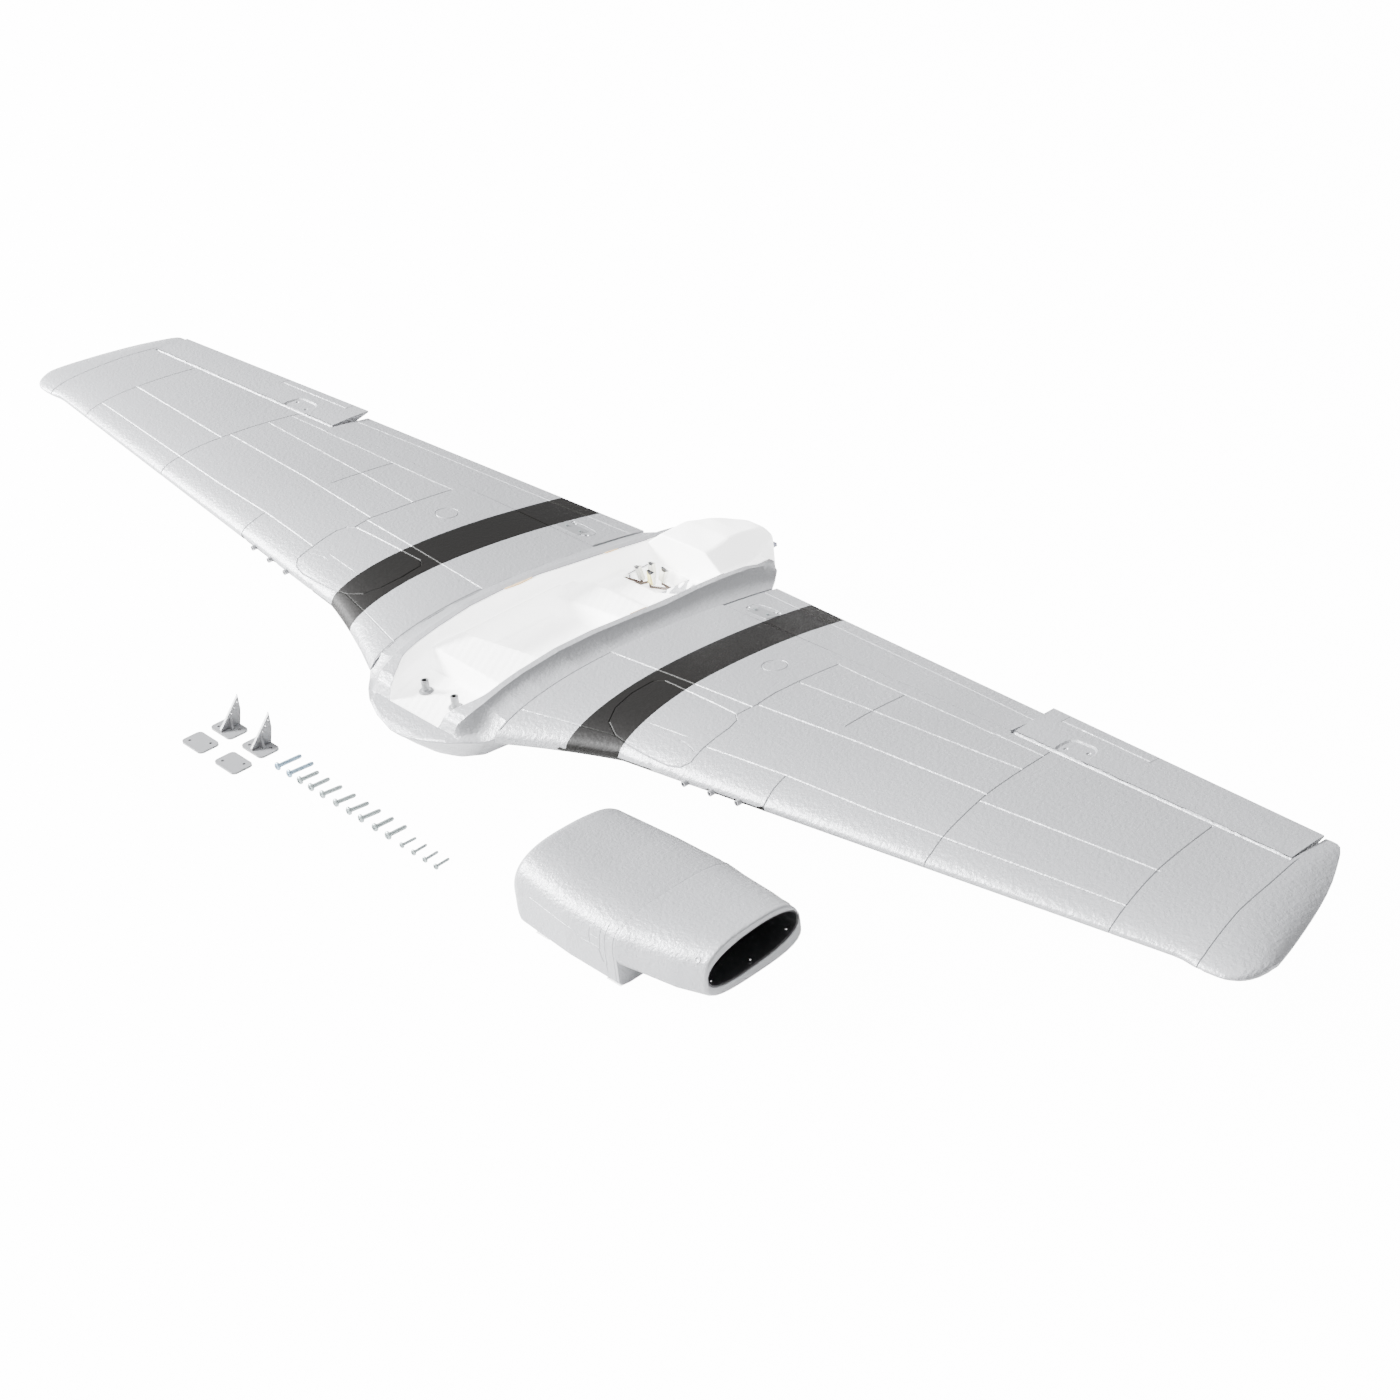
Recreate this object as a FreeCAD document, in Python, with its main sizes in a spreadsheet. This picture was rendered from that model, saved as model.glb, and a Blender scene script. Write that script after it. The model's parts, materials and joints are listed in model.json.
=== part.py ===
import FreeCAD, Part
import math
import os

# Moulded foam wing set for a 1.2 m class low-wing model aeroplane, with its
# loose belly scoop, control horns, back plates and screws laid beside it.
# Row frame, millimetres: +Z up, +X towards the pilot's left tip, +Y aft.
# The origin is midway between the tops of the two front wing-bolt posts.
# Left-hand pieces are modelled at +X and mirrored for the right.

Vec = FreeCAD.Vector
Placement = FreeCAD.Placement
Rotation = FreeCAD.Rotation
ORIGIN = Vec(0, 0, 0)
AXIS_X, AXIS_Y, AXIS_Z = Vec(1, 0, 0), Vec(0, 1, 0), Vec(0, 0, 1)

doc = FreeCAD.newDocument("wing_set")
sheet = doc.addObject("Spreadsheet::Sheet", "sizes")

# "te" is the trailing edge, "le" the leading edge, "ail" the aileron, "_r" a radius
SIZES = [
    # wing planform and section
    ("seam_x", 67.0), ("end_x", 560.0), ("le_root_y", 11.4), ("le_sweep", 0.0632),
    ("te_root_y", 244.0), ("te_sweep", 0.1465),
    ("ail_te_y", 196.1), ("ail_te_x", 350.6), ("ail_te_sweep", 0.1413),
    ("le_root_z", -14.6), ("le_dihedral", 0.0884), ("te_root_z", -12.8), ("te_dihedral", 0.0973),
    ("ratio_root", 0.130), ("ratio_tip", 0.090), ("camber_max", 0.020), ("te_thick", 1.2),
    ("glove_x", 154.0), ("glove_slope", 0.19), ("glove_curve", 0.0010),
    # control surfaces and hinges
    ("flap_in_x", 69.2), ("flap_out_x", 345.8), ("ail_in_x", 348.4), ("ail_out_x", 559.0),
    ("hinge_y", 192.5), ("hinge_sweep", 0.0905),
    ("ail_front_y", 159.6), ("ail_front_sweep", 0.1094),
    ("hinge_gap", 0.6), ("flap_nose_r", 1.5), ("pin_r", 0.6), ("pin_bore_r", 0.65),
    ("knuckle_r", 1.3), ("leaf_len", 12.0), ("leaf_wide", 6.0), ("leaf_thick", 0.8),
    # spar tubes
    ("spar_r", 4.0), ("spar_in_r", 3.0), ("glue_gap", 0.05),
    # wing-bolt posts
    ("post_x", 15.93), ("post_r", 2.75), ("post_bore_r", 1.6), ("flange_r", 5.0),
    ("flange_thick", 1.2), ("floor_z", -9.0), ("post_tail", 12.0), ("counterbore_r", 4.5),
    # servos, arms and pushrods
    ("servo_long", 20.0), ("servo_wide", 8.6), ("servo_deep", 16.0),
    ("shaft_off", 5.2), ("shaft_r", 1.9), ("arm_len", 13.0), ("arm_thick", 1.5),
    ("arm_hub_r", 2.9), ("arm_hub_thick", 3.0), ("rod_r", 0.6), ("rod_hole_r", 0.65),
    # loose horns and plates
    ("plate_long", 25.0), ("plate_wide", 16.0), ("plate_thick", 1.5), ("plate_round", 3.5),
    ("plate_hole_r", 1.1), ("plate_hole_x", 7.4), ("plate_hole_y", 3.6), ("horn_thick", 1.8),
    # loose screws
    ("screw_long_r", 1.5), ("screw_long_len", 18.0), ("screw_mid_r", 1.5),
    ("screw_mid_len", 14.0), ("screw_small_r", 1.0), ("screw_small_len", 11.0),
    ("screw_head_r", 2.75), ("screw_head_tall", 2.0),
    ("small_head_r", 2.0), ("small_head_tall", 1.4),
    # bench plane under the set, and the scoop
    ("bench_z", -47.5), ("scoop_wall", 2.5),
    # gear mounts and magnets
    ("gear_x", 180.0), ("gear_y", 78.0), ("gear_long", 44.0), ("gear_wide", 30.0),
    ("gear_tall", 12.0), ("gear_hole_x", 17.0), ("gear_hole_y", 10.0), ("gear_hole_r", 1.25),
    ("magnet_r", 4.0), ("magnet_thick", 2.0),
]
for row, (alias, value) in enumerate(SIZES, start=1):
    sheet.set("A%d" % row, alias)
    sheet.set("B%d" % row, str(value))
    sheet.setAlias("B%d" % row, alias)
doc.recompute()


def size(alias):
    return float(sheet.get(alias))


SEAM_X = size("seam_x")
END_X = size("end_x")     # where the rounded tip begins
SPLIT_X = 347.0           # between the flap bay and the aileron bay
FIT = size("glue_gap")    # clearance round seated pieces
FLOOR_Z = size("floor_z")
BENCH_Z = size("bench_z")

# ---------------------------------------------------------------- document helpers
NODES = []


def keep(obj, label):
    obj.Label = label
    NODES.append(obj)
    return obj


def feature(label, shape):
    obj = doc.addObject("Part::Feature", label)
    obj.Shape = shape
    return keep(obj, label)


def mirrored(source, label):
    obj = doc.addObject("Part::Mirroring", label)
    obj.Source = source
    obj.Normal = AXIS_X
    obj.Base = ORIGIN
    return keep(obj, label)


def pair(name, shape):
    mirrored(feature(name + "_left", shape), name + "_right")


def bind(obj, prop, given):
    """Set a property to a number, or bind it to an expression."""
    if isinstance(given, str):
        obj.setExpression(prop, given)
    else:
        setattr(obj, prop, given)


def bound_cylinder(name, radius, height, place):
    obj = doc.addObject("Part::Cylinder", name)
    obj.setExpression("Radius", "sizes." + radius)
    bind(obj, "Height", height)
    obj.Placement = place
    return obj


# ---------------------------------------------------------------- shape helpers
def table(x, rows, column):
    """Linear interpolation on the first column, held constant beyond both ends."""
    if x <= rows[0][0]:
        return rows[0][column]
    for low, high in zip(rows, rows[1:]):
        if x <= high[0]:
            share = (x - low[0]) / (high[0] - low[0])
            return low[column] + share * (high[column] - low[column])
    return rows[-1][column]


def box(x0, x1, y0, y1, z0, z1):
    return Part.makeBox(x1 - x0, y1 - y0, z1 - z0, Vec(x0, y0, z0))


def cylinder_x(radius, x0, x1, y=0, z=0):
    return Part.makeCylinder(radius, x1 - x0, Vec(x0, y, z), AXIS_X)


def rod(start, end, radius, extra=0.0):
    along = end - start
    unit = Vec(along).normalize()
    return Part.makeCylinder(radius, along.Length + 2 * extra, start - unit * extra, unit)


def polygon(points):
    return Part.makePolygon(points + points[:1])


def spline(points):
    curve = Part.BSplineCurve()
    curve.interpolate(points)
    return curve.toShape()


def loft(wires):
    solid = Part.makeLoft(wires, True, True)
    if solid.ShapeType != "Solid":
        solid = Part.makeSolid(solid.Shells[0])
    if solid.Volume < 0:
        solid.reverse()
    return solid


def merged(shape):
    shape = shape.removeSplitter()
    if len(shape.Solids) == 1:
        return shape.Solids[0]
    return shape


def placed(shape, frame):
    copy = shape.copy()
    copy.Placement = frame.multiply(copy.Placement)
    return copy


def flip(shape):
    return shape.mirror(ORIGIN, AXIS_X)


def flip_point(point):
    return Vec(-point.x, point.y, point.z)


# ---------------------------------------------------------------- wing section
TIP = [  # x, leading edge y, trailing edge y, thickness factor
    (560, 46.8, 166.6, 1.0), (564, 46.05, 166.38, 0.996), (568, 45.4, 165.63, 0.984),
    (571, 45.03, 163.79, 0.969), (574, 44.7, 159.68, 0.95), (577.5, 44.5, 153.17, 0.92),
    (581, 44.51, 146.27, 0.883), (585, 44.56, 137.81, 0.829), (589, 44.89, 127.75, 0.761),
    (592.5, 46.1, 117.2, 0.687), (595.5, 47.56, 106.86, 0.608), (598, 49.43, 97.3, 0.527),
    (600.2, 51.99, 88.33, 0.437), (602, 55.24, 80.2, 0.342), (603.3, 59.45, 73.25, 0.248),
    (604.2, 65.6, 67.8, 0.149)]
THIN_FROM_X, THIN_SPAN = 200.0, 400.0   # the section thins outboard of this station


def le_straight(x):
    return size("le_root_y") + size("le_sweep") * x


def te_straight(x):
    return size("te_root_y") - size("te_sweep") * x


def le_y(x):
    """Leading edge, with the glove reaching forward near the root."""
    if x > END_X:
        return table(x, TIP, 1)
    y = le_straight(x)
    inboard = size("glove_x") - x
    if inboard > 0:
        y -= size("glove_slope") * inboard + size("glove_curve") * inboard * inboard
    return y


def te_y(x):
    if x > END_X:
        return table(x, TIP, 2)
    y = te_straight(min(x, SPLIT_X))
    if x > SPLIT_X:
        y += (x - SPLIT_X) / (END_X - SPLIT_X) * (TIP[0][2] - y)
    return y


def le_z(x):
    return size("le_root_z") + size("le_dihedral") * x


def te_z(x):
    return size("te_root_z") + size("te_dihedral") * x


def thickness_ratio(x):
    ratio = size("ratio_root")
    if x > THIN_FROM_X:
        ratio += (size("ratio_tip") - ratio) * (x - THIN_FROM_X) / THIN_SPAN
    return ratio


def chord_z(x, y):
    # the section's chord line keeps the slope of the straight-tapered wing
    front, back = le_straight(x), te_straight(x)
    return le_z(x) + (y - front) / (back - front) * (te_z(x) - le_z(x))


def skin(x, y, upper):
    """Height of the skin: four-digit thickness and camber, camber greatest at 0.4 chord."""
    front, back = le_y(x), te_y(x)
    u = min(1.0, max(0.0, (y - front) / (back - front)))
    chord = te_y(min(x, END_X)) - le_straight(x)
    fade = table(x, TIP, 3)
    half = 5 * thickness_ratio(x) * chord * fade * (
        0.2969 * math.sqrt(u) - 0.1260 * u - 0.3516 * u * u + 0.2843 * u ** 3 - 0.1036 * u ** 4)
    half += u * size("te_thick") / 2
    if u < 0.4:
        camber = size("camber_max") / 0.16 * (0.8 * u - u * u)
    else:
        camber = size("camber_max") / 0.36 * (0.2 + 0.8 * u - u * u)
    return chord_z(x, y) + camber * chord * fade + (half if upper else -half)


def wing_section(x):
    """Closed wire in the plane of x, from the trailing edge over the nose and back."""
    front, back = le_y(x), te_y(x)
    stations = [front + (back - front) * (0.5 - 0.5 * math.cos(math.pi * k / 18.0))
                for k in range(19)]
    top = [Vec(x, y, skin(x, y, True)) for y in stations]
    low = [Vec(x, y, skin(x, y, False)) for y in stations]
    points = list(reversed(top)) + low[1:]
    return Part.Wire([spline(points), Part.makeLine(points[-1], points[0])])


# ---------------------------------------------------------------- hinge lines
FLAP_HINGES = (95.0, 205.0, 325.0)
AIL_HINGES = (362.0, 452.0, 545.0)
AIL_FRONT_X = 348.0   # station at which ail_front_y holds
AIL_NOSE_INSET = 0.05
NOSE_R = size("flap_nose_r")


def flap_bay_y(x):
    return size("hinge_y") - size("hinge_sweep") * x


def ail_bay_y(x):
    return size("ail_front_y") - size("ail_front_sweep") * (x - AIL_FRONT_X)


def flap_axis(x):
    y = flap_bay_y(x) + size("hinge_gap") + NOSE_R
    return Vec(x, y, skin(x, y, False) + NOSE_R)


def ail_nose_r(x):
    y = ail_bay_y(x)
    return (skin(x, y, True) - skin(x, y, False)) / 2.0 - AIL_NOSE_INSET


def ail_axis(x):
    y = ail_bay_y(x) + size("hinge_gap") + ail_nose_r(x)
    return Vec(x, y, (skin(x, y, True) + skin(x, y, False)) / 2.0)


def on_line(line, x):
    start, end = line
    return start + (end - start) * ((x - start.x) / (end.x - start.x))


def hinge_frame(line, x):
    """Placement at station x of a hinge line: X along the hinge, Y aft and Z up."""
    along = (line[1] - line[0]).normalize()
    aft = (AXIS_Y - along * along.y).normalize()
    up = along.cross(aft)
    frame = Placement(FreeCAD.Matrix(along.x, aft.x, up.x, 0, along.y, aft.y, up.y, 0,
                                     along.z, aft.z, up.z, 0, 0, 0, 0, 1))
    frame.Base = on_line(line, x)
    return frame


FLAP_LINE = (flap_axis(size("flap_in_x")), flap_axis(size("flap_out_x")))
AIL_LINE = (ail_axis(size("ail_in_x")), ail_axis(size("ail_out_x")))
FLAP_FRAMES = [hinge_frame(FLAP_LINE, x) for x in FLAP_HINGES]
AIL_FRAMES = [hinge_frame(AIL_LINE, x) for x in AIL_HINGES]

# ---------------------------------------------------------------- hinges
LEAF_HALF = size("leaf_wide") / 2
LEAF_HALF_THICK = size("leaf_thick") / 2
NOTCH_HALF = LEAF_HALF + 0.3              # notch in the moving surface
NOTCH_R = size("knuckle_r") + 0.35
PIN_BORE_RUNOUT = 5.0


def hinge_piece(frame):
    leaf = box(-LEAF_HALF, LEAF_HALF, -size("leaf_len"), 0, -LEAF_HALF_THICK, LEAF_HALF_THICK)
    leaf = leaf.fuse(cylinder_x(size("knuckle_r"), -LEAF_HALF, LEAF_HALF))
    leaf = leaf.cut(cylinder_x(size("pin_bore_r"), -LEAF_HALF - 1, LEAF_HALF + 1))
    return placed(merged(leaf), frame)


def leaf_slot(frame):
    half, half_thick = LEAF_HALF + 0.1, LEAF_HALF_THICK + FIT
    return placed(box(-half, half, -size("leaf_len") - 0.2, 0.0, -half_thick, half_thick), frame)


# ---------------------------------------------------------------- flap
def flap_section(x):
    axis = flap_axis(x)
    front, back = axis.y - NOSE_R, te_y(x)
    steps = [k / 8 for k in range(9)]
    top_ys = [front + (back - front) * step for step in steps]
    low_ys = [axis.y + (back - axis.y) * step for step in steps]
    top = [Vec(x, y, skin(x, y, True)) for y in top_ys]
    low = [Vec(x, y, skin(x, y, False)) for y in low_ys]
    nose = Vec(x, front, axis.z)
    middle = NOSE_R * math.sqrt(0.5)
    arc = Part.Arc(nose, Vec(x, axis.y - middle, axis.z - middle), low[0])
    return Part.Wire([spline(top), Part.makeLine(top[-1], low[-1]), spline(low), arc.toShape(),
                      Part.makeLine(nose, top[0])])


def flap_notch(frame):
    notch = box(-NOTCH_HALF, NOTCH_HALF, -6.0, 0.0, -4.0, 0.9).fuse(
        cylinder_x(NOTCH_R, -NOTCH_HALF, NOTCH_HALF))
    return placed(notch, frame)


def build_flap():
    flap = loft([flap_section(x) for x in (size("flap_in_x"), 200.0, size("flap_out_x"))])
    flap = flap.cut(rod(*FLAP_LINE, size("pin_bore_r"), PIN_BORE_RUNOUT))
    for frame in FLAP_FRAMES:
        flap = flap.cut(flap_notch(frame))
    return merged(flap)


# ---------------------------------------------------------------- aileron
AIL_TE_Z, AIL_TE_DIHEDRAL = 25.4, 0.0874   # trailing edge height at ail_te_x, and its rise
TOP_BULGE = 0.35
LOW_BULGE = TOP_BULGE * 0.4


def ail_section(x):
    axis, nose_r = on_line(AIL_LINE, x), ail_nose_r(x)
    outboard = x - size("ail_te_x")
    back_y = size("ail_te_y") - size("ail_te_sweep") * outboard
    back_z = AIL_TE_Z + AIL_TE_DIHEDRAL * outboard

    def side(sign, bulge):
        z0, z1 = axis.z + sign * nose_r, back_z + sign * size("te_thick") / 2
        return [Vec(x, axis.y + (back_y - axis.y) * k / 6,
                    z0 + (z1 - z0) * k / 6 + sign * bulge * math.sin(math.pi * k / 6))
                for k in range(7)]

    top, low = side(1, TOP_BULGE), side(-1, LOW_BULGE)
    arc = Part.Arc(low[0], Vec(x, axis.y - nose_r, axis.z), top[0])
    return Part.Wire([spline(top), Part.makeLine(top[-1], low[-1]), spline(low), arc.toShape()])


def ail_notch(frame):
    # the slot opens forward so that the leaf stays clear at both limits
    outline = [(0, -1.4), (0, 1.4), (-10.0, 4.6), (-10.0, -4.6)]
    fan = Part.Face(polygon([Vec(-NOTCH_HALF, y, z) for y, z in outline]))
    fan = fan.extrude(Vec(2 * NOTCH_HALF, 0, 0))
    return placed(fan.fuse(cylinder_x(NOTCH_R, -NOTCH_HALF, NOTCH_HALF)), frame)


def build_aileron():
    aileron = loft([ail_section(size("ail_in_x")), ail_section(size("ail_out_x"))])
    aileron = aileron.cut(rod(*AIL_LINE, size("pin_bore_r"), PIN_BORE_RUNOUT))
    for frame in AIL_FRAMES:
        aileron = aileron.cut(ail_notch(frame))
    return merged(aileron)


# ---------------------------------------------------------------- servos
# Servo frame: shaft along X through the origin, Y aft, arm hanging down -Z.
CASE_OUT_X = -3.9                              # shaft-side face of the case
CASE_IN_X = CASE_OUT_X - size("servo_deep")
CASE_FRONT = -size("shaft_off")
CASE_BACK = size("servo_long") - size("shaft_off")
CASE_HALF = size("servo_wide") / 2
EAR_IN_X, EAR_OUT_X = -9.6, -8.2
EAR_REACH, EAR_HOLE_REACH = 4.2, 2.4
BAY_GAP = 0.3
BAY_LOW_Z, BAY_OUT_X = -30, 4.2                # bay opens through the wing's underside
ARM_LEN = size("arm_len")
ARM_END_R = 1.9
HOLE_RISES = (0.0, 3.2, 6.0)                   # link holes above the working hole
SPARE_HOLE_R = 0.5


def build_servo():
    case = box(CASE_IN_X, CASE_OUT_X, CASE_FRONT, CASE_BACK, -CASE_HALF, CASE_HALF)
    ears = box(EAR_IN_X, EAR_OUT_X, CASE_FRONT - EAR_REACH, CASE_BACK + EAR_REACH,
               -CASE_HALF, CASE_HALF)
    boss = cylinder_x(3.4, CASE_OUT_X, -2.3)
    shaft = cylinder_x(size("shaft_r"), -3.0, 0.2)
    servo = case.fuse([ears, boss, shaft])
    for y in (CASE_FRONT - EAR_HOLE_REACH, CASE_BACK + EAR_HOLE_REACH):
        servo = servo.cut(cylinder_x(0.8, -12, -6, y))
    return merged(servo)


def servo_bay():
    top = CASE_HALF + BAY_GAP
    front, back = CASE_FRONT - BAY_GAP, CASE_BACK + BAY_GAP
    bay = box(CASE_IN_X - BAY_GAP, CASE_OUT_X + BAY_GAP, front, back, BAY_LOW_Z, top)
    ears = box(EAR_IN_X - BAY_GAP, EAR_OUT_X + BAY_GAP, front - EAR_REACH, back + EAR_REACH,
               BAY_LOW_Z, top)
    hub_room = box(CASE_OUT_X, BAY_OUT_X, -4.4, 4.4, BAY_LOW_Z, 4.6)
    arm_room = box(-2.4, BAY_OUT_X, -16.0, 16.0, BAY_LOW_Z, -1.5)
    return bay.fuse([ears, hub_room, arm_room])


def build_arm():
    half_hub, half_arm = size("arm_hub_thick") / 2, size("arm_thick") / 2
    arm = cylinder_x(size("arm_hub_r"), -half_hub, half_hub)
    arm = arm.fuse([box(-half_arm, half_arm, -ARM_END_R, ARM_END_R, -ARM_LEN, 0),
                    cylinder_x(ARM_END_R, -half_arm, half_arm, 0, -ARM_LEN)])
    arm = arm.cut(cylinder_x(size("shaft_r") + FIT, -half_hub - 0.1, 0.5))
    for rise in HOLE_RISES:
        radius = SPARE_HOLE_R if rise else size("rod_hole_r")
        arm = arm.cut(cylinder_x(radius, -3, 3, 0, rise - ARM_LEN))
    return merged(arm)


def shifted(frame, offset):
    moved = Placement(frame)
    moved.Base = frame.multVec(offset)
    return moved


FLAP_DRIVE_X, AIL_DRIVE_X = 99.0, 393.0
FLAP_SHAFT, AIL_SHAFT = Vec(0, -46.0, 2.4), Vec(0, -44.0, -0.6)   # in the hinge frames
flap_drive = hinge_frame(FLAP_LINE, FLAP_DRIVE_X)
flap_servo = shifted(flap_drive, FLAP_SHAFT)
ail_servo = shifted(hinge_frame(AIL_LINE, AIL_DRIVE_X), AIL_SHAFT)

# ---------------------------------------------------------------- lead channel
CHANNEL_R = 3.0
LEAD_MOUTH = Vec(2.0, 198.0, -14.0)
FLAP_PORT = flap_servo.multVec(Vec(CASE_IN_X, 10.0, -1.0))
AIL_PORT = ail_servo.multVec(Vec(CASE_IN_X, 10.0, 0.5))
# the aileron lead passes behind the flap servo's ears
LEAD_BEND = flap_servo.multVec(Vec(-6.0, CASE_BACK + 10.0, -0.5))


def build_channel():
    channel = rod(LEAD_MOUTH, FLAP_PORT, CHANNEL_R).fuse([
        rod(LEAD_MOUTH, LEAD_BEND, CHANNEL_R), rod(LEAD_BEND, AIL_PORT, CHANNEL_R)])
    return channel.fuse(Part.makeSphere(CHANNEL_R, LEAD_BEND))


lead_channel = build_channel()

# ---------------------------------------------------------------- gear mount and wells
GEAR_X, GEAR_Y = size("gear_x"), size("gear_y")
GEAR_LOW = skin(GEAR_X, GEAR_Y, False) + 1.2   # set up from the lower skin
GEAR_TOP = GEAR_LOW + size("gear_tall")
GEAR_ROOF = 2.5
WHEEL_X, WHEEL_Y, WHEEL_WELL_R, WHEEL_WELL_TALL = 102.0, 44.0, 29.0, 60.0
WELL_LOW_Z = -64.0                             # below the underside
LEG_Y, LEG_HALF, LEG_TOP_Z = 61.0, 7.0, -2.0


def gear_box(gap, low, high):
    half_x, half_y = size("gear_long") / 2 + gap, size("gear_wide") / 2 + gap
    return box(GEAR_X - half_x, GEAR_X + half_x, GEAR_Y - half_y, GEAR_Y + half_y, low, high)


def gear_wells():
    wheel = Part.makeCylinder(WHEEL_WELL_R, WHEEL_WELL_TALL, Vec(WHEEL_X, WHEEL_Y, WELL_LOW_Z))
    leg = box(WHEEL_X, GEAR_X - size("gear_long") / 2 + 1.0, LEG_Y - LEG_HALF, LEG_Y + LEG_HALF,
              WELL_LOW_Z, LEG_TOP_Z)
    return gear_box(FIT, -60, GEAR_TOP + FIT).fuse([wheel, leg])


def build_gear_mount():
    low, roof = GEAR_LOW - 1, GEAR_TOP - GEAR_ROOF
    mount = gear_box(0, GEAR_LOW, GEAR_TOP)
    # central pocket, and the groove from it to the inboard end
    mount = mount.cut(box(GEAR_X - 10, GEAR_X + 10, GEAR_Y - 7, GEAR_Y + 7, low, roof))
    mount = mount.cut(box(GEAR_X - size("gear_long") / 2 - 1, GEAR_X - 9,
                          GEAR_Y - 4.5, GEAR_Y + 4.5, low, roof))
    for side_x in (-1, 1):
        for side_y in (-1, 1):
            foot = Vec(GEAR_X + side_x * size("gear_hole_x"),
                       GEAR_Y + side_y * size("gear_hole_y"), low)
            mount = mount.cut(Part.makeCylinder(size("gear_hole_r"), 9.0, foot))
    return merged(mount)


# ---------------------------------------------------------------- gun muzzles
GUN_STATIONS = (212.5, 234.4, 256.5)
GUN_R, GUN_BORE_R = 1.9, 1.1


def gun_cylinder(x, radius, length, ahead):
    """Cylinder pointing aft, starting ahead of the leading edge."""
    return Part.makeCylinder(radius, length, Vec(x, le_y(x) - ahead, le_z(x) - 0.6), AXIS_Y)


def build_guns():
    return Part.makeCompound([gun_cylinder(x, GUN_R, 16.0, 2.6).cut(
        gun_cylinder(x, GUN_BORE_R, 8.0, 3.0)) for x in GUN_STATIONS])


# ---------------------------------------------------------------- wing panel
PANEL_STATIONS = (SEAM_X, 90.0, 115.0, 135.0, 154.0, 200.0, SPLIT_X, 450.0)
# the spar tube follows the dihedral inside the panel
SPAR = (Vec(47.0, 100.0, -5.4), Vec(470.0, 98.0, 32.0))
BAY_BACK_Y = 280.0


def bay_prism(x0, x1, front_y):
    outline = [(x0, front_y(x0)), (x1, front_y(x1)), (x1, BAY_BACK_Y), (x0, BAY_BACK_Y)]
    return Part.Face(polygon([Vec(x, y, -80) for x, y in outline])).extrude(Vec(0, 0, 200))


def build_panel():
    stations = PANEL_STATIONS + tuple(row[0] for row in TIP)
    panel = loft([wing_section(x) for x in stations])
    panel = panel.cut(bay_prism(SEAM_X - 1, SPLIT_X, flap_bay_y))
    panel = panel.cut(bay_prism(SPLIT_X, END_X, ail_bay_y))
    panel = panel.cut(rod(*SPAR, size("spar_r") + FIT, FIT))
    for frame in FLAP_FRAMES + AIL_FRAMES:
        panel = panel.cut(leaf_slot(frame))
    for frame in (flap_servo, ail_servo):
        panel = panel.cut(placed(servo_bay(), frame))
    panel = panel.cut(gear_wells())
    for x in GUN_STATIONS:
        panel = panel.cut(gun_cylinder(x, GUN_R + FIT, 20.0, 6.6))
    return merged(panel.cut(lead_channel))


# ---------------------------------------------------------------- centre section
RIM = [  # y, half width, z
    (-26.0, 40.0, -9.6), (-22.0, 41.5, -7.0), (-18.0, 43.5, -1.5), (-12.4, 46.2, 2.2),
    (2.6, 48.5, 7.5), (17.6, 48.7, 11.3), (32.6, 48.9, 14.0), (62.6, 50.2, 17.3),
    (92.6, 51.0, 17.2), (122.6, 51.4, 15.0), (152.6, 50.9, 11.7), (182.6, 47.4, 8.9),
    (212.6, 45.7, 5.5), (227.6, 45.5, 4.0), (242.6, 47.2, 0.5), (256.0, 44.0, -2.0)]
NOSE_RIM_END = -22.0
NOSE_RIM = [  # y, z of the rim ahead of NOSE_RIM_END
    (-38.0, -15.2), (-36.0, -13.6), (-30.0, -11.2), (-26.0, -9.9), (-22.0, -9.0)]
BELLY = [  # y, z on the centre line
    (-38.0, -16.0), (-34.0, -20.0), (-28.0, -26.5), (-18.0, -36.1), (-7.0, -43.4), (4.0, -46.5),
    (30.0, -47.5), (90.0, -47.0), (130.0, -41.0), (180.0, -34.0), (230.0, -28.0), (256.0, -26.0)]
PLAN = [  # y, half width at the side edge
    (-38.0, 4.0), (-36.0, 16.0), (-33.0, 30.0), (-27.0, 44.0), (-21.0, 52.5), (-15.0, 60.0),
    (-8.5, 67.0), (232.0, 67.0), (236.0, 66.0), (242.6, 58.0), (250.0, 50.0), (256.0, 46.0)]
SEAM_FRONT_Y = -8.5
TAIL_EDGE = [(230.0, -5.4), (242.6, -6.5), (256.0, -8.0)]   # y, z of the upper side edge
BODY_STATIONS = (-37.6, -34.0, -28.0, -22.1, -18.0, -12.4, -8.5, 2.6, 17.6, 32.6, 62.6, 92.6,
                 122.6, 152.6, 182.6, 212.6, 231.0, 242.6, 255.5)
FILLET_CURVE = [(0.14, 0.42), (0.40, 0.78), (0.72, 0.95)]   # share outward, share down
BELLY_CURVE = [(0.80, 0.30), (0.52, 0.74), (0.26, 0.94)]    # share of half width, share down


def side_edge(y):
    """Upper and lower z of the edge that meets the wing panel."""
    if y < SEAM_FRONT_Y:
        return -10.2, -11.2
    if y > te_y(SEAM_X):
        top = table(y, TAIL_EDGE, 1)
        return top, top - 1.4
    top, low = skin(SEAM_X, y, True), skin(SEAM_X, y, False)
    return max(top, low + 1.0), low


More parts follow.
